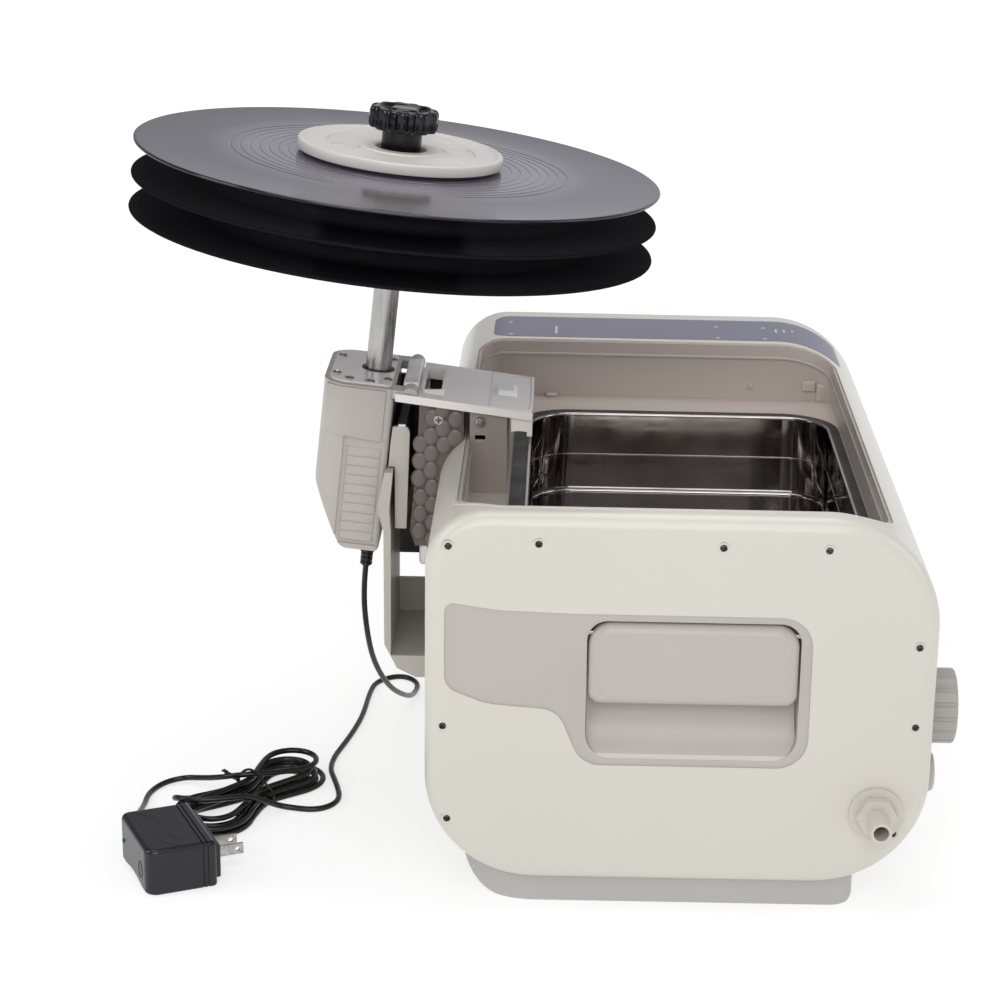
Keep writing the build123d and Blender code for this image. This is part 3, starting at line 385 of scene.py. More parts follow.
def vinyl(name, gloss, specular):
    """Pressed vinyl: near black, with fine rings cut in it, and a painted
    sheen that lightens it towards the label.
    """
    finish = new_finish(name, (0.010, 0.009, 0.011), 0.16,
                        specular=specular)
    tree = finish.node_tree
    shader = tree.nodes["Principled BSDF"]
    shader.inputs["Specular Tint"].default_value = (0.76, 0.73, 1.0, 1)
    shader.inputs["Anisotropic"].default_value = 0.35
    lay = tree.nodes.new("ShaderNodeTangent")
    lay.direction_type = "UV_MAP"
    lay.uv_map = "grooves"
    tree.links.new(lay.outputs["Tangent"], shader.inputs["Tangent"])
    turns = tree.nodes.new("ShaderNodeUVMap")
    turns.uv_map = "grooves"
    rings = tree.nodes.new("ShaderNodeMapping")
    rings.inputs["Scale"].default_value = (0.0, 420.0, 1.0)
    bands = tree.nodes.new("ShaderNodeTexNoise")
    bands.inputs["Scale"].default_value = 1.0
    bands.inputs["Detail"].default_value = 2.0
    tree.links.new(turns.outputs["UV"], rings.inputs["Vector"])
    tree.links.new(rings.outputs["Vector"], bands.inputs["Vector"])
    polish(finish, bands.outputs["Fac"], gloss, gloss + 0.07)
    relief(finish, bands.outputs["Fac"], 0.004, 0.3)
    # Painted sheen: the base colour is a light grey-violet near the label and
    # fades to near black further out.
    reach = tree.nodes.new("ShaderNodeSeparateXYZ")
    tree.links.new(turns.outputs["UV"], reach.inputs["Vector"])
    tint(finish, reach.outputs["Y"], (0.125, 0.118, 0.145),
         (0.011, 0.010, 0.013), 0.42, 0.56)
    return finish


def cord_jacket():
    finish = new_finish("cord_black", (0.006, 0.006, 0.0065), 0.24,
                        specular=0.4)
    polish(finish, grain(finish, 260, 3), 0.18, 0.32)
    relief(finish, grain(finish, 500, 2), 0.02, 0.3)
    return finish


def panel_film():
    finish = new_finish("panel_film", (0.13, 0.126, 0.175), 0.34)
    tint(finish, grain(finish, 7, 2), (0.126, 0.121, 0.17),
         (0.136, 0.131, 0.183))
    polish(finish, grain(finish, 1800, 2), 0.28, 0.4)
    relief(finish, grain(finish, 1800, 2), 0.01, 0.3)
    return finish


# Moulded plastics: colour, roughness, colour drift, then texture and coat.
MOULDED = {
    "cream_plastic": ((0.585, 0.564, 0.503), 0.34, 0.012, 0.012, 0.15),
    "light_grey_plastic": ((0.44, 0.405, 0.373), 0.33, 0.02),
    "warm_grey_plastic": ((0.40, 0.35, 0.315), 0.40, 0.025),
    "plinth_grey": ((0.43, 0.41, 0.39), 0.48, 0.02),
    "deck_grey": ((0.47, 0.415, 0.375), 0.34, 0.03),
    # Lighter than the handle insert's grey: painted light on the scoop's
    # upturned floor.
    "scoop_grey_painted_light": ((0.56, 0.515, 0.47), 0.3, 0.02),
    # The drain parts' own warm grey, made a little darker as painted shade.
    "drain_grey_painted_shade": ((0.55, 0.515, 0.465), 0.32, 0.02),
    # Darker than the drain parts: painted shade on the knob's side face.
    "knob_grey_painted_shade": ((0.365, 0.337, 0.31), 0.36, 0.02),
    "clamp_grey": ((0.56, 0.535, 0.505), 0.42, 0.02),
    "plate_plastic": ((0.78, 0.73, 0.68), 0.2, 0.015),
    "arm_plastic": ((0.45, 0.425, 0.38), 0.42, 0.015),
    "leg_grey": ((0.285, 0.245, 0.22), 0.3, 0.03),
    "pad_brown": ((0.10, 0.082, 0.075), 0.36, 0.06),
    "pillow_brown": ((0.135, 0.111, 0.102), 0.34, 0.04),
    "black_matte": ((0.02, 0.019, 0.02), 0.5, 0.1),
    "adapter_black": ((0.0045, 0.0045, 0.0095), 0.3, 0.1),
    "lamp_green": ((0.01, 0.06, 0.035), 0.2, 0.1),
    "ceramic_white": ((0.8, 0.8, 0.78), 0.3, 0.02),
    "board_green": ((0.03, 0.12, 0.05), 0.35, 0.1),
}
FINISHES = {name: moulded_plastic(name, *look)
            for name, look in MOULDED.items()}
FINISHES.update({
    "panel_film": panel_film(),
    "polished_steel": polished_steel(),
    "steel_in_painted_shade": steel_in_painted_shade(),
    "brushed_steel": brushed_steel(),
    "screw_steel": screw_steel(),
    "screw_in_painted_shade": screw_in_painted_shade(),
    "black_plastic": glossy_black(),
    "black_rubber": black_rubber(),
    "cord_black": cord_jacket(),
    "vinyl": vinyl("vinyl", 0.11, 0.42),
    # Lower discs: the same vinyl with its reflection all but taken out, as
    # painted shade.
    "vinyl_in_painted_shade": vinyl("vinyl_in_painted_shade", 0.24, 0.0006),
})


def rounded_shading():
    """Joins a node's triangles and shades them smooth up to a real edge."""
    group = bpy.data.node_groups.new("rounded_shading", "GeometryNodeTree")
    for way in ("INPUT", "OUTPUT"):
        group.interface.new_socket("Geometry", in_out=way,
                                   socket_type="NodeSocketGeometry")
    add, link = group.nodes.new, group.links.new
    start, end = add("NodeGroupInput"), add("NodeGroupOutput")
    weld = add("GeometryNodeMergeByDistance")
    weld.inputs["Distance"].default_value = 2e-6
    angle = add("GeometryNodeInputMeshEdgeAngle")
    shallow = add("FunctionNodeCompare")
    shallow.operation = "LESS_THAN"
    shallow.inputs["B"].default_value = math.radians(32)
    edges = add("GeometryNodeSetShadeSmooth")
    edges.domain = "EDGE"
    faces = add("GeometryNodeSetShadeSmooth")
    link(start.outputs[0], weld.inputs["Geometry"])
    link(weld.outputs["Geometry"], edges.inputs["Geometry"])
    link(angle.outputs["Unsigned Angle"], shallow.inputs["A"])
    link(shallow.outputs["Result"], edges.inputs["Shade Smooth"])
    link(edges.outputs["Geometry"], faces.inputs["Geometry"])
    link(faces.outputs["Geometry"], end.inputs[0])
    return group


# Nodes whose finish isn't the plain one of their material slot.
OWN_FINISH = {"deck_lining": "deck_grey", "deck_ledge": "deck_grey",
              "hanger_leg": "leg_grey", "rest_arm": "arm_plastic",
              "hanger_plate": "plate_plastic",
              "hanger_latch": "ceramic_white",
              "bearing_plate": "plate_plastic", "tank_flange": "steel_in_painted_shade",
              "drain_flange": "drain_grey_painted_shade", "drain_nut": "drain_grey_painted_shade",
              "drain_spout": "drain_grey_painted_shade", "drain_knob": "knob_grey_painted_shade",
              "adapter_body": "adapter_black"}


def dress_nodes():
    """Gives every CAD node its finish and its rounded shading."""
    group = rounded_shading()
    for row in frame["record"]["subparts"]:
        item = frame["nodes"][row["node"]]
        finish = FINISHES[OWN_FINISH.get(row["node"], row["material_slot"])]
        item.data.materials.clear()
        item.data.materials.append(finish)
        item.modifiers.new("shading", "NODES").node_group = group
        item.modifiers.new("flat faces", "WEIGHTED_NORMAL").keep_sharp = True


# -------------------------------------------------------------------- cord
def on_rack(u, y, w):
    return tuple(ON_RACK @ Vector((u, y, w)))


def on_adapter(x, y, z):
    return tuple(ON_ADAPTER @ Vector((x, y, z)))


def on_hank(s, q, z):
    """Hank coordinates: s along the bundle, q across it."""
    turn = Matrix.Rotation(math.radians(HANK_TURN), 2)
    x, y = turn @ Vector((s, q))
    return (HANK_AT[0] + x, HANK_AT[1] + y, z)


def hank_fold(side, tip, radius, z_in, z_out):
    """Seven points round one end of a turn."""
    reach, middle = radius * 1.048, tip - radius
    heights = (z_in,) * 3 + ((z_in + z_out) / 2,) + (z_out,) * 3
    return [on_hank(side * (middle + reach * math.cos(math.radians(a))),
                    side * reach * math.sin(math.radians(a)), z)
            for a, z in zip((105, 70, 35, 0, -35, -70, -105), heights)]


def hank_turns():
    """Six turns, three on the floor and three on top, drawn in at the tie."""
    # (place across the tie, upper fold (tip, radius, z),
    #  lower fold (tip, radius, z in, z out), height at the tie)
    turns = [(9.6, (57, 20.5, 1.75), (58, 21.3, 1.75, 1.75), 1.75),
             (5.7, (52.5, 16.4, 1.75), (53.5, 17, 1.75, 1.75), 1.75),
             (1.9, (47.5, 12, 1.75), (48, 12.2, 1.75, 5.5), 1.75),
             (3.8, (46, 12.8, 5.5), (52.8, 16.4, 5.5, 5.5), 5.2),
             (7.8, (51.5, 17.2, 5.5), (57.5, 20.4, 5.5, 9.2), 5.2),
             (5.8, (48.5, 14.2, 9.2), (51, 14.6, 9.2, 9.6), 8.75)]
    after = [(turn[0], turn[3]) for turn in turns[1:]] + [(3.6, 11.4)]
    points = []
    for (q, upper, lower, z), (q_next, z_next) in zip(turns, after):
        tip, r, z_up = upper
        span = tip - r
        points += [on_hank(3, q, z),
                   on_hank(span * 0.55, q + (r - q) * 0.62, (z + z_up) / 2),
                   *hank_fold(1, tip, r, z_up, z_up),
                   on_hank(span * 0.5, -q - (r - q) * 0.55, (z + z_up) / 2),
                   on_hank(2, -q, z)]
        tip, r, z_in, z_out = lower
        span = tip - r
        points += [on_hank(-span * 0.5, -q - (r - q) * 0.55, (z + z_in) / 2),
                   *hank_fold(-1, tip, r, z_in, z_out),
                   on_hank(-span * 0.5, q_next + (r - q_next) * 0.55,
                           (z_next + z_out) / 2)]
    return points


CORD_EXIT = on_rack(JACK_U, RACK_Y, BOX_BASE_W - 22.8)


def cord_route():
    hanging = [CORD_EXIT, on_rack(JACK_U, RACK_Y, BOX_BASE_W - 40),
               (-183.5, -27, 84), (-180.5, -9, 56), (-172.5, 17, 29),
               (-163.5, 50, 10)]
    on_floor = [(x, y, CORD_R) for x, y in (
        (-160, 76), (-158.5, 96), (-171, 109), (-187, 97), (-190, 75),
        (-191, 38), (-196, 3.5), (-206.5, -44), (-198, -74), (-194, -98),
        (-206, -112), (-228, -107))]
    into_hank = [on_hank(*p) for p in (
        (-9, -18.5, 8), (-19, -12.5, 14.2), (-32, -2, 14), (-41, 9, 13.6),
        (-43, 22, 13.4), (-34, 31, 7), (-21, 29, 2.6), (-10, 20, 1.75))]
    last_loop = [on_hank(5, 3.4, 11.9), on_hank(19, 9.5, 12.9),
                 *hank_fold(1, 54, 15, 13, 13), on_hank(20, -7, 13.6),
                 on_hank(7, 0.5, 15.6), on_hank(-1, 9.5, 15.2)]
    tail = [(-269, -86.5, 10.5), (-280, -77, 6), (-291, -70.5, 3.2),
            (-303, -76, 1.9), (-309.5, -92, 1.75), (-308.5, -112, 3),
            on_adapter(-9, 48, 11.5), on_adapter(-9, 38, 13),
            on_adapter(-9, 31, 13)]
    return hanging + on_floor + into_hank + hank_turns() + last_loop + tail


def cord_line(points, radius):
    """Mesh of a round line through points in millimetres, in metres."""
    return round_line([Vector(point) * MM for point in points], radius * MM,
                      6, 3)


def adapter_cord():
    points = cord_route()
    path = [tuple(v.co) for v in cord_line(points, 0).vertices]
    bm = bmesh.new()
    take_in(bm, cord_line(points, CORD_R))
    bmesh.ops.scale(bm, vec=(1 / MM,) * 3, verts=bm.verts)
    cord = piece("adapter_cord", bm, None,
                 "cord_black", smooth=60)
    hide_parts("cord_drop", "cord_hank", "cord_tail")
    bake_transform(cord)


def cord_tie():
    """Twisted wire tie round the middle of the hank."""
    points = [on_hank(4 + 0.5 * math.sin(k * 1.9), q, z) for k, (q, z) in
              enumerate(((-12.2, 1.2), (-13.6, 5), (-11.6, 9.6), (-7, 12.9),
                         (0, 17.9), (6.5, 18.6), (12.4, 12.4), (13.8, 6),
                         (12.6, 1.6)))]
    bm = bmesh.new()
    take_in(bm, cord_line(points, 0.8))
    for turn in (-1, 1):
        ends = [on_hank(4 + turn * 0.9 * math.cos(k * 1.6), 12.6 + k * 1.5,
                        9.0 + k * 0.5 + turn * 0.9 * math.sin(k * 1.6))
                for k in range(9)]
        take_in(bm, cord_line(ends, 0.75))
    bmesh.ops.scale(bm, vec=(1 / MM,) * 3, verts=bm.verts)
    return piece("cord_tie", bm, "machine",
                 "cord_black", smooth=60)


# -------------------------------------------------------------------- discs
TRACK_GAPS = (64.0, 69.4, 74.8, 80.2, 85.6, 91.0, 96.4)
TRACK_CUT = 0.22
GROOVE_REACH = 200      # radius that the discs' UV map counts as one


def disc_profile():
    """Half section of a disc: label, lead-out, track gaps, raised rim."""
    label, groove, rim = 1.0, 0.7, 0.95
    upper = [(DISC_HOLE_R, label), (LABEL_R, label), (LABEL_R + 3, groove)]
    for r in TRACK_GAPS:
        upper += [(r - 0.7, groove), (r - 0.25, groove - TRACK_CUT),
                  (r + 0.25, groove - TRACK_CUT), (r + 0.7, groove)]
    upper += [(DISC_R - 4.6, groove), (DISC_R - 2.8, rim),
              (DISC_R - 0.9, rim), (DISC_R - 0.2, rim * 0.6), (DISC_R, 0)]
    lower = [(r, -z) for r, z in reversed(upper[:-1])]
    return upper + lower + [upper[0]]


def disc(node, index):
    bm = spun(disc_profile(), 256)
    place = ON_SPINDLE @ Matrix.Translation((0, 0, DISC_W - index * DISC_GAP))
    layer = bm.loops.layers.uv.new("grooves")
    for face in bm.faces:
        middle = face.calc_center_median()
        around = math.atan2(middle.y, middle.x)
        for corner in face.loops:
            x, y, _ = corner.vert.co
            turn = math.atan2(y, x)
            if turn - around > math.pi:
                turn -= 2 * math.pi
            if around - turn > math.pi:
                turn += 2 * math.pi
            corner[layer].uv = (turn / (2 * math.pi),
                                math.hypot(x, y) / GROOVE_REACH)
    # The lower discs take the copy of the vinyl in painted shade.
    item = piece(node.replace("record", "disc"), bm, "record_stack",
                 "vinyl_in_painted_shade" if index else "vinyl", place, 25)
    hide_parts(node)


# -------------------------------------------------------------------- clamp
CLAMP_W = DISC_W + 1.0 + SEAL_T
KNOB_W = CLAMP_W + CLAMP_T - 3.0
KNOB_FOOT, KNOB_TOP, KNOB_BORE = 12.0, 24.5, 3.67
KNOB_R, LOBES, LOBE_AT, LOBE_CUT = 20, 12, 20.9, 3.9


def clamp_disc():
    """Round plate with a rolled rim, a shallow ring and two oblong beads."""
    low, top = CLAMP_T - 1.2, CLAMP_T
    bm = spun([(DISC_HOLE_R, 0), (57.6, 0), (58.6, 0.4), (CLAMP_R, 1.2),
               (CLAMP_R, 4.9), (58.6, 5.8), (57.7, 6.4), (56.6, top),
               (55.8, 6.3), (54.9, 5.5), (54, low), (43, low),
               (42.2, low - 0.7), (24.5, low - 0.7), (23.6, low),
               (16.2, low), (15, low - 0.3),
               (14.5, low - 0.9), (14.5, 2.5), (DISC_HOLE_R, 2.5),
               (DISC_HOLE_R, 0)], 192)
    for turn in (20, 200):
        oblong = bead([(28, 5.2, low - 0.6), (38, 5.2, low - 0.6),
                       (41, 2.6, low - 0.6), (41, -2.6, low - 0.6),
                       (38, -5.2, low - 0.6), (28, -5.2, low - 0.6),
                       (25, -2.6, low - 0.6), (25, 2.6, low - 0.6)],
                      0.45, closed=True)
        add_into(bm, oblong, Matrix.Rotation(math.radians(turn), 4, "Z"))
    item = piece("clamp_disc", bm, "record_stack",
                 "clamp_grey",
                 ON_SPINDLE @ Matrix.Translation((0, 0, CLAMP_W)), 30)
    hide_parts("clamp_plate")


def lobed_knob():
    """Screw-down knob with twelve lobes, a dished top and a plain stem."""
    bm = spun([(KNOB_BORE, 0), (11.2, 0), (11.5, 0.4), (11.5, KNOB_FOOT),
               (16.8, KNOB_FOOT), (18.9, KNOB_FOOT + 0.3),
               (19.8, KNOB_FOOT + 1.2), (KNOB_R, KNOB_FOOT + 2.2),
               (KNOB_R, 18), (KNOB_R, 21.6), (19.7, 23.0), (18.9, 24.0),
               (17.6, KNOB_TOP), (15.4, KNOB_TOP), (14.6, 23.9),
               (13.9, 22.7), (12, 22.3),
               (8.8, 22.3), (8.2, 23.1), (7.6, 24.0), (6.6, 24.3), (0, 24.3)],
              288)
    hollow = spun([(KNOB_BORE, 0), (KNOB_BORE, 14.7), (0, 14.7)], 288)
    add_into(bm, hollow)
    for v in bm.verts:
        reach = math.hypot(v.co.x, v.co.y)
        if reach < 16 or v.co.z < KNOB_FOOT - 0.1:
            continue
        step = 2 * math.pi / LOBES
        turn = math.atan2(v.co.y, v.co.x) % step
        off = LOBE_AT * math.sin(min(turn, step - turn))
        if abs(off) < LOBE_CUT:
            limit = (LOBE_AT * math.cos(min(turn, step - turn))
                     - math.sqrt(LOBE_CUT**2 - off**2))
            limit -= max(0.0, KNOB_R - reach) * 0.6
            if reach > limit:
                v.co.x *= limit / reach
                v.co.y *= limit / reach
    item = piece("lobed_knob", bm, "clamp_knob",
                 "black_plastic",
                 ON_SPINDLE @ Matrix.Translation((0, 0, KNOB_W)), 48)
    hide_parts("clamp_knob")


def shaft_collar():
    """Dark ring where the spindle leaves the motor box."""
    bm = spun([(7.6, 0.1), (9.6, 0.1), (9.9, 0.5), (9.6, 1.5), (8.2, 1.9),
               (7.6, 1.7), (7.6, 0.1)], 96)
    piece("shaft_collar", bm, "swing_head",
          "black_matte",
          ON_SPINDLE @ Matrix.Translation((0, 0, BOX_TOP_W)))


# --------------------------------------------------------------------- rack
RACK_NEAR = -77.0                                # near side of rack, carrier
CORNER_U, CORNER_Y, CORNER_R = -35.5, -62.0, 15  # motor box's front corner
PLATE_X, PLATE_TOP, PLATE_FALL = -149.0, 246.6, 8.2 / 65.5
PAD_SCREW, LEG_SCREW = (-137.5, 233.0), (-113.5, 232.0)
RIB_COUNT, RIB_LOW, RIB_HIGH = 10, -91.0, -34.0


def ribbed_cover():
    """Front cover of the motor box: a raised panel and ten thin ribs."""
    bm = slab([(-33, RIB_LOW), (-13, RIB_LOW), (-13, RIB_HIGH),
               (-33, RIB_HIGH)], 0, 3.6, 0.3)
    gap = (RIB_HIGH - RIB_LOW) / RIB_COUNT
    for k in range(RIB_COUNT):
        w = RIB_LOW + (k + 0.5) * gap
        rib = slab([(-32.4, w - 0.42 * gap), (-13.6, w - 0.42 * gap),
                    (-13.6, w + 0.40 * gap), (-32.4, w + 0.40 * gap)],
                   3.2, 4.7, 0.2)
        for v in rib.verts:
            if v.co.z > 4 and v.co.y > w:
                v.co.z -= 0.85
        add_into(bm, rib)
    place = ON_RACK @ Matrix.Translation((0, RACK_NEAR + 5, 0)) @ UPRIGHT
    item = piece("ribbed_cover", bm, "swing_head",
                 "light_grey_plastic", place)
    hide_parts("motor_cover")


def front_panel():
    """Raised panel wrapped round the upper front corner of the box."""
    def line(out):
        around = [(CORNER_U - (CORNER_R + out) * math.sin(math.radians(a)),
                   CORNER_Y - (CORNER_R + out) * math.cos(math.radians(a)))
                  for a in range(54, -1, -6)]
        return around + [(-13.5, RACK_NEAR - out)]
    outline = line(-0.3) + list(reversed(line(1.3)))
    bm = slab(outline, -27.4, 1.4, 0.45)
    for v in bm.verts:
        if v.co.z < -20:
            v.co.z -= 0.06 * (v.co.x + 44)
    piece("front_panel", bm, "swing_head",
          "light_grey_plastic", ON_RACK)


def hinge_cover():
    """Flat-topped cover over the fixed middle of the rack hinge."""
    bm = block((8.8, 55.4, 9.2), (HINGE_X, RACK_Y, HINGE_Z + 0.6), 1.1)
    piece("hinge_cover", bm, "machine", "plate_plastic")


def plate_line(x):
    """Height of the carrier plate's sloping top."""
    return PLATE_TOP - PLATE_FALL * (x - PLATE_X)


def plate_tray():
    """Raised line round the tray at the tank end of the plate."""
    loop = [(-108, -70), (-108, -74), (-103, -75), (-90, -75), (-85.2, -74.5),
            (-84.6, -70), (-84.6, -4), (-85.2, 0), (-90, 0.8), (-103, 0.8),
            (-108, 0), (-108, -4)]
    bm = bead([(x, y, plate_line(x) + 0.1) for x, y in loop], 0.55,
              closed=True)
    piece("plate_tray", bm, "machine",
          "plate_plastic", smooth=60)


def carrier_foot():
    """Rounded end of the pad, the slot in the leg, and a black block over the
    web that paints the shade beside the motor box.
    """
    bm = block((11, 5, 13), (-143.2, -71.6, 150), 2.2)
    piece("pad_end", bm, "machine", "plate_plastic")
    bm = block((6.4, 2.2, 3.4), (-113.5, -73.8, 219.5), 0.4)
    piece("leg_slot_sill", bm, "machine", "leg_grey")
    # Black block standing in for the deep shade in the gap beside the motor
    # box: painted shade.
    bm = block((5.0, 74.2, 50.0), (-158.5, -39.6, 205.6), 0.4)
    piece("web_painted_shade_block", bm, "machine", "black_matte")


def carrier_cheek():
    """Cheek of the rack carrier that closes the gap beside the motor box."""
    outline = [(-165.2, 218.6), (-163.9, 228.4), (-158.0, 229.2),
               (-155.0, 228.0), (-154.0, 225), (-155.9, 167), (-162.7, 167),
               (-162.7, 204.6), (-166.4, 204.6)]
    bm = slab(outline, 0, 3.0, 0.4)
    piece("carrier_cheek", bm, "machine",
          "light_grey_plastic",
          Matrix.Translation((0, RACK_NEAR + 2.7, 0)) @ UPRIGHT)


PILLOW_WIDE, PILLOW_TALL = 14.0, 10.4
PILLOW_SIZE, PILLOW_START = (4.7, 2.3, 5.7), (-155.4, 160.5)


def inside_pad(x, z, margin):
    """True where a place on the wall pad is clear of its edges."""
    left = -154.0 + (z - 165.0) * 0.084
    past = -104.0 - math.sqrt(max(0.0, 33.0**2 - max(0.0, z - 193.5)**2))
    right = -123.5 if z > 222 else past
    return left + margin < x < right - margin and 159 < z < 241


def pad_pillows():
    """Low pillows moulded over the face of the wall pad."""
    bm = bmesh.new()
    drift = random.Random(7)
    for row in range(24):
        for column in range(5):
            x = PILLOW_START[0] + (column + (row % 2) / 2) * PILLOW_WIDE
            z = PILLOW_START[1] + row * PILLOW_TALL / 2
            x += drift.uniform(-0.6, 0.6)
            z += drift.uniform(-0.7, 0.7)
            if (not inside_pad(x, z, 1.2)
                    or math.dist((x, z), PAD_SCREW) < 3.5):
                continue
            dome = bmesh.new()
            bmesh.ops.create_icosphere(dome, subdivisions=3, radius=1.0)
            for v in dome.verts:
                v.co.y *= 1 - max(0.0, abs(v.co.y) - 0.55) * 0.55
            bmesh.ops.scale(dome, vec=PILLOW_SIZE, verts=dome.verts)
            add_into(bm, dome, Matrix.Translation((x, RACK_NEAR + 2, z)))
    piece("pad_pillows", bm, "machine", "pillow_brown", smooth=60)


# --------------------------------------------------------------------- deck
OPEN_X, OPEN_Y = (-122.0, 113.0), (-216.0, 146.0)
OPEN_NEAR_R, OPEN_FAR_R = 28, 14
LEDGE_Z = CASE_TOP - 37.5
TANK_X, TANK_Y, TANK_R = (-86.0, 103.0), (-200.0, 95.0), 28.0
FLANGE_Z = LEDGE_Z + 1.2
STEP_Z = LEDGE_Z - 48.0


def case_top(x):
    """Height of the case's rounded top at a place across its width."""
    for middle, reach, way in ((-104.0, 33.0, -1), (75.0, 62.0, 1)):
        past = (x - middle) * way
        if past > 0:
            return CASE_TOP - reach + math.sqrt(max(0, reach**2 - past**2))
    return CASE_TOP


def deck_trim():
    """Lip round the deck opening, dark joint under it, bead on the wall."""
    for name, slot, grow, width, low, high, edge in (
            ("opening_lip", "cream_plastic", 2.2, 2.4, -0.6, 0.7, 0.35),
            ("opening_joint", "warm_grey_plastic", 0.15, 0.55, -3.4, -1.6,
             0.0),
            ("wall_bead", "light_grey_plastic", -2.3, 1.6, -9.6, -7.8, 0.5)):
        bm = rounded_band(OPEN_X, OPEN_Y, OPEN_NEAR_R, OPEN_FAR_R, width, low,
                          high, edge, case_top, grow)
        piece(name, bm, "machine", slot)


def tank_trim():
    """Rolled rim of the tank and the two pressed lines in its wall."""
    for name, grow, width, low, high, edge in (
            ("tank_rolled_rim", 1.4, 2.6, FLANGE_Z - 0.9, FLANGE_Z + 1.3,
             1.0),
            ("tank_pressed_line", 0.1, 0.5, 163.0, 164.0, 0.2),
            ("tank_step_bead", 0.2, 3.0, STEP_Z - 3.6, STEP_Z - 0.2, 1.4)):
        bm = rounded_band(TANK_X, TANK_Y, TANK_R, TANK_R, width, low, high,
                          edge, None, grow)
        piece(name, bm, "machine", "polished_steel")


def deck_details():
    """Small peg, post, notch and bump moulded into the deck well."""
    bm = bmesh.new()
    peg = spun([(0, 0), (1.4, 0), (1.4, 2.6), (1.0, 3.2), (0, 3.2)], 24)
    add_into(bm, peg, Matrix.Translation((57.6, 143.6, 198.5))
             @ Matrix.Rotation(math.radians(90), 4, "X"))
    add_into(bm, block((6.5, 3.2, 12), (104.5, 141.6, LEDGE_Z + 6), 1.0))
    add_into(bm, block((9, 2.4, 7), (96.2, 142.2, LEDGE_Z + 10.4), 0.8))
    add_into(bm, block((8, 5, 3), (-73.7, 141.2, LEDGE_Z + 1.5), 1.2))
    piece("deck_details", bm, "machine", "deck_grey")


def panel_marks():
    """Plain key marks and two short bars printed on the control film."""
    bm = bmesh.new()
    for x, y in ((-102.3, 190.9), (-101.5, 158.0), (36.2, 188.9),
                 (35.9, 158.6), (67.9, 188.8), (67.2, 158.6)):
        ring = spun([(0, 0), (1.5, 0), (1.5, 0.3), (0, 0.3)], 24)
        add_into(bm, ring, Matrix.Translation((x, y, 0)))
    for x, y, length in ((-71.5, 172, 20), (76.0, 181, 9), (81.5, 182, 7),
                         (87.5, 186, 4)):
        add_into(bm, block((1.5, length, 0.3), (x, y, 0.15)))
    for v in bm.verts:
        v.co.z += case_top(v.co.x) + 0.2
    piece("panel_marks", bm, "machine", "clamp_grey")
    slot = block((5.4, 1.6, 0.3), (97.9, 153.5, 0.05))
    for v in slot.verts:
        v.co.z += case_top(v.co.x) + 0.2
    piece("panel_sensor", slot, "machine", "black_matte")


# ------------------------------------------------------------------ handles
POCKET_X, POCKET_FACE, POCKET_DEPTH = (-50.2, 62.9), -229.1, 23.0


def pocket_scoops():
    """Sloping scoop in the foot of each handle pocket, in a lighter grey as
    painted light on its upturned floor.
    """
    back = POCKET_FACE + POCKET_DEPTH
    hollow = [(back, 127), (back - 1.2, 121), (back - 3.6, 115),
              (back - 7.0, 109), (back - 11.0, 103.4), (back - 15.4, 98.4),
              (back - 19.6, 94.6), (POCKET_FACE, 92.2), (POCKET_FACE, 88),
              (back + 1.5, 88), (back + 1.5, 127)]
    bm = slab(hollow, *POCKET_X)
    turned_up = Matrix(((0, 0, 1, 0), (1, 0, 0, 0), (0, 1, 0, 0),
                        (0, 0, 0, 1)))
    bmesh.ops.transform(bm, matrix=turned_up, verts=bm.verts)
    both = bmesh.new()
    add_into(both, bm.copy())
    add_into(both, bm, Matrix.Rotation(math.pi, 4, "Z"))
    piece("pocket_scoops", both, "machine",
          "scoop_grey_painted_light", smooth=32)


# ------------------------------------------------------------------ adapter
MOULD_LINE_R = 0.24


def adapter_details():
    """Indicator, joint lines and mould lines of the mains adapter."""
    top = ADAPTER_H + 0.02
    lines = bead([(-15.2, 26.4, top), (-10.8, 21.9, top), (-5.8, 16.4, top),
                  (-4.0, 8.5, top), (-7.3, -0.9, top), (-10.5, -8.5, top),
                  (-9.8, -16.6, top), (-6.4, -22.2, top), (-2.0, -26.2, top)],
                 MOULD_LINE_R)
    add_into(lines, bead([(-3.5, -7.8, top), (-2.8, -14.1, top),
                          (2.4, -18.8, top)], MOULD_LINE_R))
    side = -ADAPTER_W / 2 - 0.02
    add_into(lines, bead([(side, -11, 6), (side, -11, 15.5), (side, -18, 15.5),
                          (side, -18, 6)], MOULD_LINE_R, closed=True))
    piece("adapter_lines", lines, "machine",
          "black_matte", ON_ADAPTER, 60)
    lamp = spun([(0, -0.5), (1.5, -0.5), (1.5, 0.2), (1.1, 0.7), (0, 0.9)],
                32)
    piece("adapter_lamp", lamp, "machine",
          "lamp_green", ON_ADAPTER
          @ Matrix.Translation((-ADAPTER_W / 2, 21.5, 12.5))
          @ Matrix.Rotation(math.radians(-90), 4, "Y"), 50)


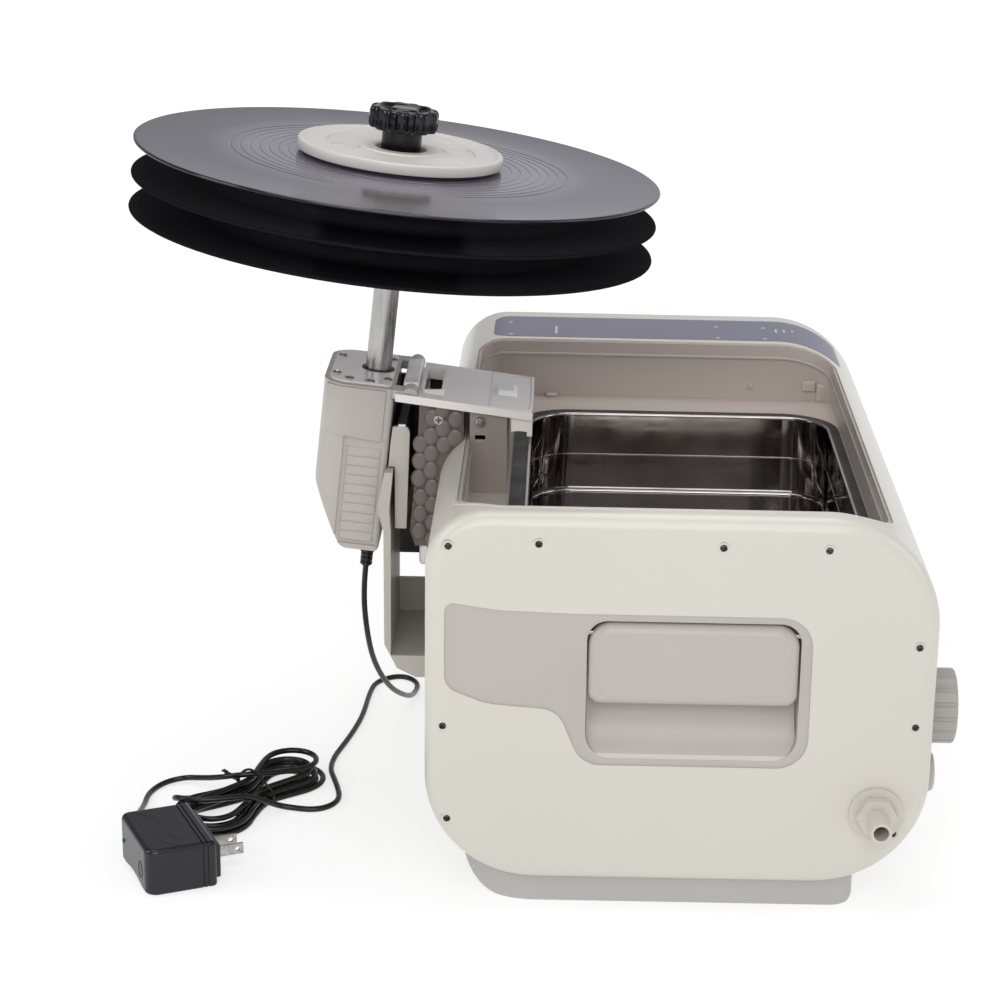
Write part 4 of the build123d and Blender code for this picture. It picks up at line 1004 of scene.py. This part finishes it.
# ------------------------------------------------------------------- screws
CROWN = 0.82            # flat top of a screw head, of its radius
HALF_W, HALF_L = 137.0, 230.0
HEAD_SUNK, HEAD_RISE = 0.3, 1.5
COVER_SCREWS_NEAR = (
    (-HALF_W + 12.5, CASE_TOP - 18.0), (-77.0, CASE_TOP - 16.0),
    (19.8, CASE_TOP - 16.2), (75.4, CASE_TOP - 16.5),
    (HALF_W - 11.0, CASE_TOP - 69.9), (HALF_W - 10.5, 110.7),
    (-HALF_W + 10.0, 106.6), (-HALF_W + 12.5, 52.5), (HALF_W - 19.0, 48.2))
COVER_SCREWS_FAR = (
    (-HALF_W + 22.0, CASE_TOP - 26.5), (-40.0, CASE_TOP - 14.5),
    (40.0, CASE_TOP - 14.5), (-HALF_W + 10.0, 130.0), (HALF_W - 10.0, 130.0),
    (-HALF_W + 17.0, 52.0), (HALF_W - 19.0, 50.0))
PLATE_SCREWS = ((-44.0, -57.0), (-36.0, -66.0), (-23.5, -68.0),
                (-14.0, -60.0), (-14.0, -14.0), (-44.0, -17.0))


def cross_head(radius, rise):
    """Pan head with a cross recess, its seat at z = 0, facing +Z."""
    arm, reach, sink = radius * 0.16, radius * 0.58, radius * 0.45
    bm = bmesh.new()
    bmesh.ops.create_grid(bm, x_segments=3, y_segments=3, size=reach,
                          matrix=Matrix.Translation((0, 0, rise)))
    for v in bm.verts:
        for axis in (0, 1):
            if abs(v.co[axis]) < reach * 0.9:
                v.co[axis] = math.copysign(arm, v.co[axis])
    corners = [f for f in bm.faces
               if min(abs(f.calc_center_median().x),
                      abs(f.calc_center_median().y)) > arm]
    bmesh.ops.delete(bm, geom=corners, context="FACES")
    cross = bm.faces[:]
    loop = [e for e in bm.edges if e.is_boundary]
    rim = bmesh.ops.create_circle(
        bm, segments=24, radius=radius * CROWN,
        matrix=Matrix.Translation((0, 0, rise * 0.96)))["verts"]
    ring = list({e for v in rim for e in v.link_edges})
    bmesh.ops.bridge_loops(bm, edges=loop + ring)
    sunk = bmesh.ops.extrude_face_region(bm, geom=cross)["geom"]
    low = verts_of(sunk)
    bmesh.ops.delete(bm, geom=cross, context="FACES_ONLY")
    bmesh.ops.translate(bm, vec=(0, 0, -sink), verts=low)
    bmesh.ops.scale(bm, vec=(0.7, 0.7, 1), verts=low)
    skirt = bmesh.ops.extrude_edge_only(bm, edges=ring)["geom"]
    edge = verts_of(skirt)
    for v in edge:
        v.co = (v.co.x / CROWN, v.co.y / CROWN, rise * 0.62)
    side = [e for e in edges_of(skirt) if all(v in edge for v in e.verts)]
    foot = bmesh.ops.extrude_edge_only(bm, edges=side)["geom"]
    base = verts_of(foot)
    for v in base:
        v.co.z = 0
    bmesh.ops.contextual_create(bm, geom=[
        e for e in edges_of(foot) if all(v in base for v in e.verts)])
    return bm


def screw_set(name, node, body, radius, rise, places, finish="screw_steel"):
    bm = bmesh.new()
    for k, place in enumerate(places):
        spin = Matrix.Rotation(math.radians(37 * k), 4, "Z")
        add_into(bm, cross_head(radius, rise), place @ spin)
    item = piece(name, bm, body, finish)
    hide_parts(node)


def recess_rim():
    """Shallow rim that narrows the mouth of a cover screw's hole."""
    return spun([(2.0, 0.02), (3.19, 0.02), (3.19, 0.24), (2.5, 0.22),
                 (2.1, 0.13), (2.0, 0.02)], 40)


def facing(x, y, z, way):
    """Place of a screw seat whose head looks along -Y (way -1) or +Y (1)."""
    turn = Matrix.Rotation(math.radians(90 * -way), 4, "X")
    return Matrix.Translation((x, y, z)) @ turn


def cover_screws():
    """Heads sunk in the two end covers, each in a narrowed hole, dark as
    painted shade inside the holes.
    """
    seats = ([(x, z, -1) for x, z in COVER_SCREWS_NEAR]
             + [(x, z, 1) for x, z in COVER_SCREWS_FAR])
    mouth = HALF_L - HEAD_SUNK
    screw_set("cover_screw_heads", "cover_screws", "machine", 2.9, HEAD_RISE,
              [facing(x, way * (mouth - HEAD_RISE), z, way)
               for x, z, way in seats], "screw_in_painted_shade")
    rims = bmesh.new()
    for x, z, way in seats:
        add_into(rims, recess_rim(), facing(x, way * mouth, z, way))
    piece("screw_recess_rims", rims, "machine",
          "cream_plastic", smooth=50)


def rack_screws():
    screw_set("plate_screw_heads", "plate_screws", "swing_head", 2.6, 1.0,
              [ON_RACK @ Matrix.Translation((u, y, BOX_TOP_W + 1.2))
               for u, y in PLATE_SCREWS])
    screw_set("carrier_screw_heads", "hanger_screws", "machine", 3.2, 2.0,
              [facing(x, RACK_NEAR + 2, z, -1)
               for x, z in (PAD_SCREW, LEG_SCREW)])


# ------------------------------------------------------------------- studio
WALL, CEILING = (0.69, 0.69, 0.74), (0.20, 0.20, 0.21)
WALL_END, CEILING_START = 0.34, 0.72             # heights on the unit sphere
GLOW, GLOW_REACH = (0.66, 0.94), (0.5, 2.0)      # strengths, metres away
# Name, place, aim, size, watts.
SOFTBOXES = (("overhead", (-0.2, 0.3, 2.3), (0, 0, 0.1), (1.8, 1.4), 23),
             ("left", (-2.1, -0.5, 1.4), (0, 0, 0.15), (0.8, 1.6), 14.5),
             ("right", (2.1, -0.3, 1.4), (0, 0, 0.15), (0.8, 1.6), 8),
             ("front", (-0.4, -2.4, 1.3), (0, 0, 0.2), (2.0, 1.0), 21.5),
             ("front_high", (0.05, -1.15, 1.3), (0, -0.2, 0.2), (1.1, 0.5),
              4.2))
LENS, SHIFT = 92.886, (-0.08987, 0.04428)
CAMERA_AT = (-0.065258, -1.508744, 0.640531)
CAMERA_TURN = (18.569, 0.666, 1.354)             # pitch down, yaw, roll


def studio_floor():
    """White paper floor that glows more towards its edges."""
    bm = bmesh.new()
    bmesh.ops.create_grid(bm, x_segments=1, y_segments=1, size=9000)
    bmesh.ops.transform(bm, matrix=Matrix.Scale(MM, 4), verts=bm.verts)
    mesh = bpy.data.meshes.new("studio_floor")
    bm.to_mesh(mesh)
    bm.free()
    floor = bpy.data.objects.new("studio_floor", mesh)
    bpy.context.scene.collection.objects.link(floor)
    paper = new_finish("white_paper", (0.40, 0.40, 0.40), 0.9, specular=0.1)
    shader = paper.node_tree.nodes["Principled BSDF"]
    shader.inputs["Emission Color"].default_value = (1, 1, 1, 1)
    away = paper.node_tree.nodes.new("ShaderNodeTexCoord")
    reach = paper.node_tree.nodes.new("ShaderNodeVectorMath")
    reach.operation = "LENGTH"
    paper.node_tree.links.new(away.outputs["Object"], reach.inputs[0])
    paper.node_tree.links.new(
        spread(paper, reach.outputs["Value"], *GLOW, *GLOW_REACH),
        shader.inputs["Emission Strength"])
    mesh.materials.append(paper)


def softbox(name, at, aim, size, power):
    light = bpy.data.lights.new(name, "AREA")
    light.shape = "RECTANGLE"
    light.size, light.size_y = size
    light.energy = power
    lamp = bpy.data.objects.new(name, light)
    lamp.location = at
    lamp.rotation_euler = (Vector(aim) - Vector(at)).to_track_quat(
        "-Z", "Y").to_euler()
    bpy.context.scene.collection.objects.link(lamp)


def studio_walls():
    """Pale walls that fade to a dark ceiling, and are dimmer on the left."""
    world = bpy.data.worlds.new("studio")
    world.use_nodes = True
    tree = world.node_tree
    way = tree.nodes.new("ShaderNodeTexCoord")
    height = tree.nodes.new("ShaderNodeSeparateXYZ")
    tree.links.new(way.outputs["Generated"], height.inputs["Vector"])
    fade = tree.nodes.new("ShaderNodeValToRGB")
    fade.color_ramp.interpolation = "EASE"
    low, high = fade.color_ramp.elements
    low.position, low.color = WALL_END, (*WALL, 1)
    high.position, high.color = CEILING_START, (*CEILING, 1)
    tree.links.new(height.outputs["Z"], fade.inputs["Fac"])
    dusk = tree.nodes.new("ShaderNodeMapRange")
    dusk.interpolation_type = "SMOOTHSTEP"
    for socket, value in (("From Min", -0.28), ("From Max", 0.02),
                          ("To Min", 0.42), ("To Max", 1.0)):
        dusk.inputs[socket].default_value = value
    tree.links.new(height.outputs["X"], dusk.inputs["Value"])
    tree.links.new(dusk.outputs["Result"],
                   tree.nodes["Background"].inputs["Strength"])
    tree.links.new(fade.outputs["Color"], tree.nodes["Background"].inputs[0])
    bpy.context.scene.world = world


def studio_light():
    studio_walls()
    for row in SOFTBOXES:
        softbox(*row)


def studio_camera():
    """Long lens, a little above the deck, turned slightly to the right."""
    lens = bpy.data.cameras.new("camera")
    lens.sensor_width = 36.0
    lens.lens = LENS
    lens.shift_x, lens.shift_y = SHIFT
    pitch, yaw, roll = (math.radians(a) for a in CAMERA_TURN)
    look = Vector((math.sin(yaw) * math.cos(pitch),
                   math.cos(yaw) * math.cos(pitch), -math.sin(pitch)))
    side = Vector((math.cos(yaw), -math.sin(yaw), 0))
    rise = side.cross(look)
    right = side * math.cos(roll) + rise * math.sin(roll)
    upward = rise * math.cos(roll) - side * math.sin(roll)
    camera = bpy.data.objects.new("camera", lens)
    camera.matrix_world = Matrix((
        (right.x, upward.x, -look.x, CAMERA_AT[0]),
        (right.y, upward.y, -look.y, CAMERA_AT[1]),
        (right.z, upward.z, -look.z, CAMERA_AT[2]),
        (0, 0, 0, 1)))
    bpy.context.scene.collection.objects.link(camera)
    bpy.context.scene.camera = camera


# ----------------------------------------------------------------- assembly
studio_camera()
studio_floor()
studio_light()
bpy.context.scene.view_settings.view_transform = "Standard"

dress_nodes()
tie = cord_tie()
adapter_cord()

for index, node in enumerate(("record_top", "record_middle",
                              "record_bottom")):
    disc(node, index)

cover_screws()
rack_screws()
clamp_disc()
lobed_knob()
shaft_collar()
ribbed_cover()
front_panel()
hinge_cover()
plate_tray()
carrier_foot()
carrier_cheek()
pad_pillows()
deck_trim()
tank_trim()
deck_details()
panel_marks()
pocket_scoops()
adapter_details()
